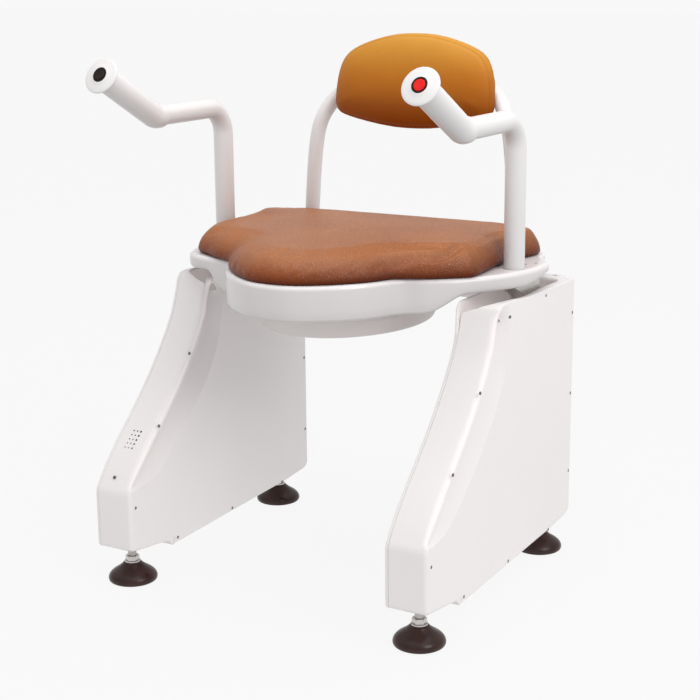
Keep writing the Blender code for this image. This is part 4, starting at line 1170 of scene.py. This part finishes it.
rings = [
    back_ring(38, PAD_BACK - 0.3, 0.5), back_ring(6.0, PAD_BACK - 0.3), back_ring(3.2, PAD_BACK - 1.2), back_ring(2.2, PAD_BACK - 3.5), back_ring(2.0, PAD_BACK - 7.0), back_ring(2.2, PAD_BACK - 12.0),
    back_ring(4.8, PAD_BACK - 18.0), back_ring(10.0, PAD_BACK - 23.8), back_ring(20.0, PAD_BACK - 29.6), back_ring(33.0, PAD_BACK - 34.8),
    back_ring(33.0, PAD_BACK - 38.4, 0.72), back_ring(33.0, PAD_BACK - 39.8, 0.36),
]
back = loft("back_cushion", rings)


def on_board(co):
    y, z = co[1] / MM + Y_MID, co[2] / MM
    return y > PAD_BACK - 2.2 + PAD_TILT * (z - 783)


simulate(back, 2.5, 20, 4.0, 4.0, hold=on_board)
relaxed(back, 2)
finer(back)


def sew_back(obj):
    """A sewn line near the front edge: a groove with a raised lip outside it."""
    mesh = obj.data
    co = np.empty(len(mesh.vertices) * 3)
    mesh.vertices.foreach_get("co", co)
    co = co.reshape(-1, 3)
    x, y, z = co[:, 0] / MM, co[:, 1] / MM + Y_MID, co[:, 2] / MM
    y0 = y - PAD_TILT * (z - 783)
    d = distance_to(pad_outline, x, z)
    front = np.clip((PAD_BACK - 14.0 - y0) / 3.0, 0, 1)
    groove = np.exp(-(((d - 7.5) / 1.3) ** 2)) * 1.5 - np.exp(-(((d - 4.2) / 1.7) ** 2)) * 0.9
    co[:, 1] += groove * front * MM
    mesh.vertices.foreach_set("co", co.ravel())
    mesh.update()


sew_back(back)
dress(back, BACK, "seat", "back_leather", "back_pad")

# =============================================================== feet
THREAD = []
z = 95.0
while z > 40.5:
    THREAD += [(7.0, z), (6.95, z - 0.35), (6.15, z - 0.85), (6.15, z - 1.15), (6.95, z - 1.65)]
    z -= 2.0
for side, sign in SIDES:
    for name, fy in (("front", 0.0), ("rear", 447.3)):
        x = sign * TOWER_X
        body = f"foot_{name}_{side}"
        profile = [(0, 31.5), (11.8, 31.5)] + [tuple(p) for p in eased(
            [(12.8, 31.4), (14.8, 30.3), (17.6, 27.4), (22.0, 23.6), (27.6, 19.8), (33.2, 16.0), (37.4, 12.0), (39.6, 8.0), (40.0, 4.8), (39.2, 1.9), (37.2, 0.3), (35.0, 0.0)], 4)] + [(20, 0), (0, 0)]
        dress(turned(f"pad_{name}_{side}", profile, (x, fy, 0), (0, 0, 1), 72), FOOT, body, "foot_rubber", f"foot_pad_{name}_{side}")
        stud = turned(
            f"stud_{name}_{side}", [(0, 96), (6.0, 96), (6.9, 95.2)] + THREAD + [(6.2, 39.6), (6.2, 31.7), (0, 31.7)], (x, fy, 0), (0, 0, 1), 40,
        )
        hexagon = [(x + 11.5 * math.cos(math.radians(60 * k + 30)), fy + 11.5 * math.sin(math.radians(60 * k + 30))) for k in range(6)]
        nut = prism("nut", hexagon, 33.4, 42.2)
        chamfer = turned("chamfer", [(0, 42.2), (9.9, 42.2), (11.6, 41.0), (11.6, 34.6), (9.9, 33.4), (0, 33.4)], (x, fy, 0), (0, 0, 1), 48)
        cut(nut, [chamfer], 28, "INTERSECT")
        washer = turned("washer", [(0, 33.8), (12.6, 33.8), (13.0, 33.4), (13.0, 32.1), (12.6, 31.7), (0, 31.7)], (x, fy, 0), (0, 0, 1), 48)
        cut(stud, [nut, washer], 28, "UNION")
        dress(stud, ZINC, body, "zinc_steel", f"foot_stem_{name}_{side}")

# =============================================================== carried CAD nodes
def repaint(names, look, degrees=30.0):
    for n in names:
        obj = NODES[n]
        obj.data.materials.clear()
        obj.data.materials.append(look)


repaint([f"{n}_{s}" for n in ("chassis", "lift_arm_upper", "lift_arm_lower") for s, _ in SIDES] + ["rear_cross_beam"], CHASSIS)
repaint([f"{n}_{s}" for n in ("tower_pin_upper", "tower_pin_lower", "seat_pin_upper", "seat_pin_lower") for s, _ in SIDES], ZINC)
repaint([f"seat_bracket_{s}" for s, _ in SIDES], BRACKET)
repaint([f"back_saddle_{s}" for s, _ in SIDES], PAINT)
repaint(["cushion_board", "back_board"], BOARD)

# =============================================================== stage, light, camera
scene = bpy.context.scene
scene.view_settings.view_transform = "Standard"
scene.view_settings.look = "None"
scene.view_settings.exposure = 0.0
scene.view_settings.gamma = 1.0

bpy.ops.mesh.primitive_plane_add(size=60.0, location=(0, 0, 0))
floor = bpy.context.object
floor.name = "floor"
look = bpy.data.materials.new("floor_pale")
look.use_nodes = True
tree = look.node_tree
bsdf = tree.nodes["Principled BSDF"]
bsdf.inputs["Base Color"].default_value = (0.05, 0.05, 0.05, 1)
bsdf.inputs["Roughness"].default_value = 1.0
bsdf.inputs["Specular IOR Level"].default_value = 0.0
bsdf.inputs["Emission Color"].default_value = (1, 1, 1, 1)
bsdf.inputs["Emission Strength"].default_value = 0.893
floor.data.materials.append(look)

world = bpy.data.worlds.new("studio")
scene.world = world
world.use_nodes = True
tree = world.node_tree
sky = tree.nodes["Background"]
at = tree.nodes.new("ShaderNodeTexCoord")
split = tree.nodes.new("ShaderNodeSeparateXYZ")
tree.links.new(at.outputs["Generated"], split.inputs[0])
rise = tree.nodes.new("ShaderNodeValToRGB")
stops = rise.color_ramp.elements
for k, (h, v) in enumerate(((0.0, 0.939), (0.02, 0.939), (0.14, 0.62), (0.45, 0.65), (0.75, 0.80), (1.0, 0.94))):
    stop = stops[0] if k == 0 else stops.new(h)
    stop.position = h
    stop.color = (v, v, v, 1)
stops.remove(stops[-1])
tree.links.new(split.outputs["Z"], rise.inputs["Fac"])
tree.links.new(rise.outputs["Color"], sky.inputs["Strength"])
sky.inputs["Color"].default_value = (1, 1, 1, 1)


def soft_light(name, at, to, size, power, colour=(1, 1, 1)):
    data = bpy.data.lights.new(name, "AREA")
    data.shape = "RECTANGLE"
    data.size, data.size_y = size
    data.energy = power
    data.color = colour
    obj = bpy.data.objects.new(name, data)
    scene.collection.objects.link(obj)
    obj.location = at
    obj.rotation_euler = (Vector(to) - Vector(at)).to_track_quat("-Z", "Y").to_euler()
    return obj


soft_light("overhead", (0.2, 0.0, 3.0), (0, 0, 0.3), (2.4, 2.4), 20.0)
soft_light("side_key", (2.8, -1.0, 2.5), (0.1, 0, 0.4), (1.6, 1.6), 37.0)

camera_data = bpy.data.cameras.new("camera")
camera = bpy.data.objects.new("camera", camera_data)
scene.collection.objects.link(camera)
camera_data.sensor_width = 36.0
camera_data.lens = 79.716
yaw, pitch, roll = (math.radians(a) for a in (29.84, 13.85, -0.52))
forward = Vector((-math.sin(yaw) * math.cos(pitch), math.cos(yaw) * math.cos(pitch), -math.sin(pitch)))
right = Vector((math.cos(yaw), math.sin(yaw), 0))
up = right.cross(forward)
r2 = math.cos(roll) * right + math.sin(roll) * up
u2 = -math.sin(roll) * right + math.cos(roll) * up
turn = Matrix((r2, u2, -forward)).transposed().to_4x4()
turn.translation = Vector((1.2393, -2.1418, 0.9754))
camera.matrix_world = turn
scene.camera = camera
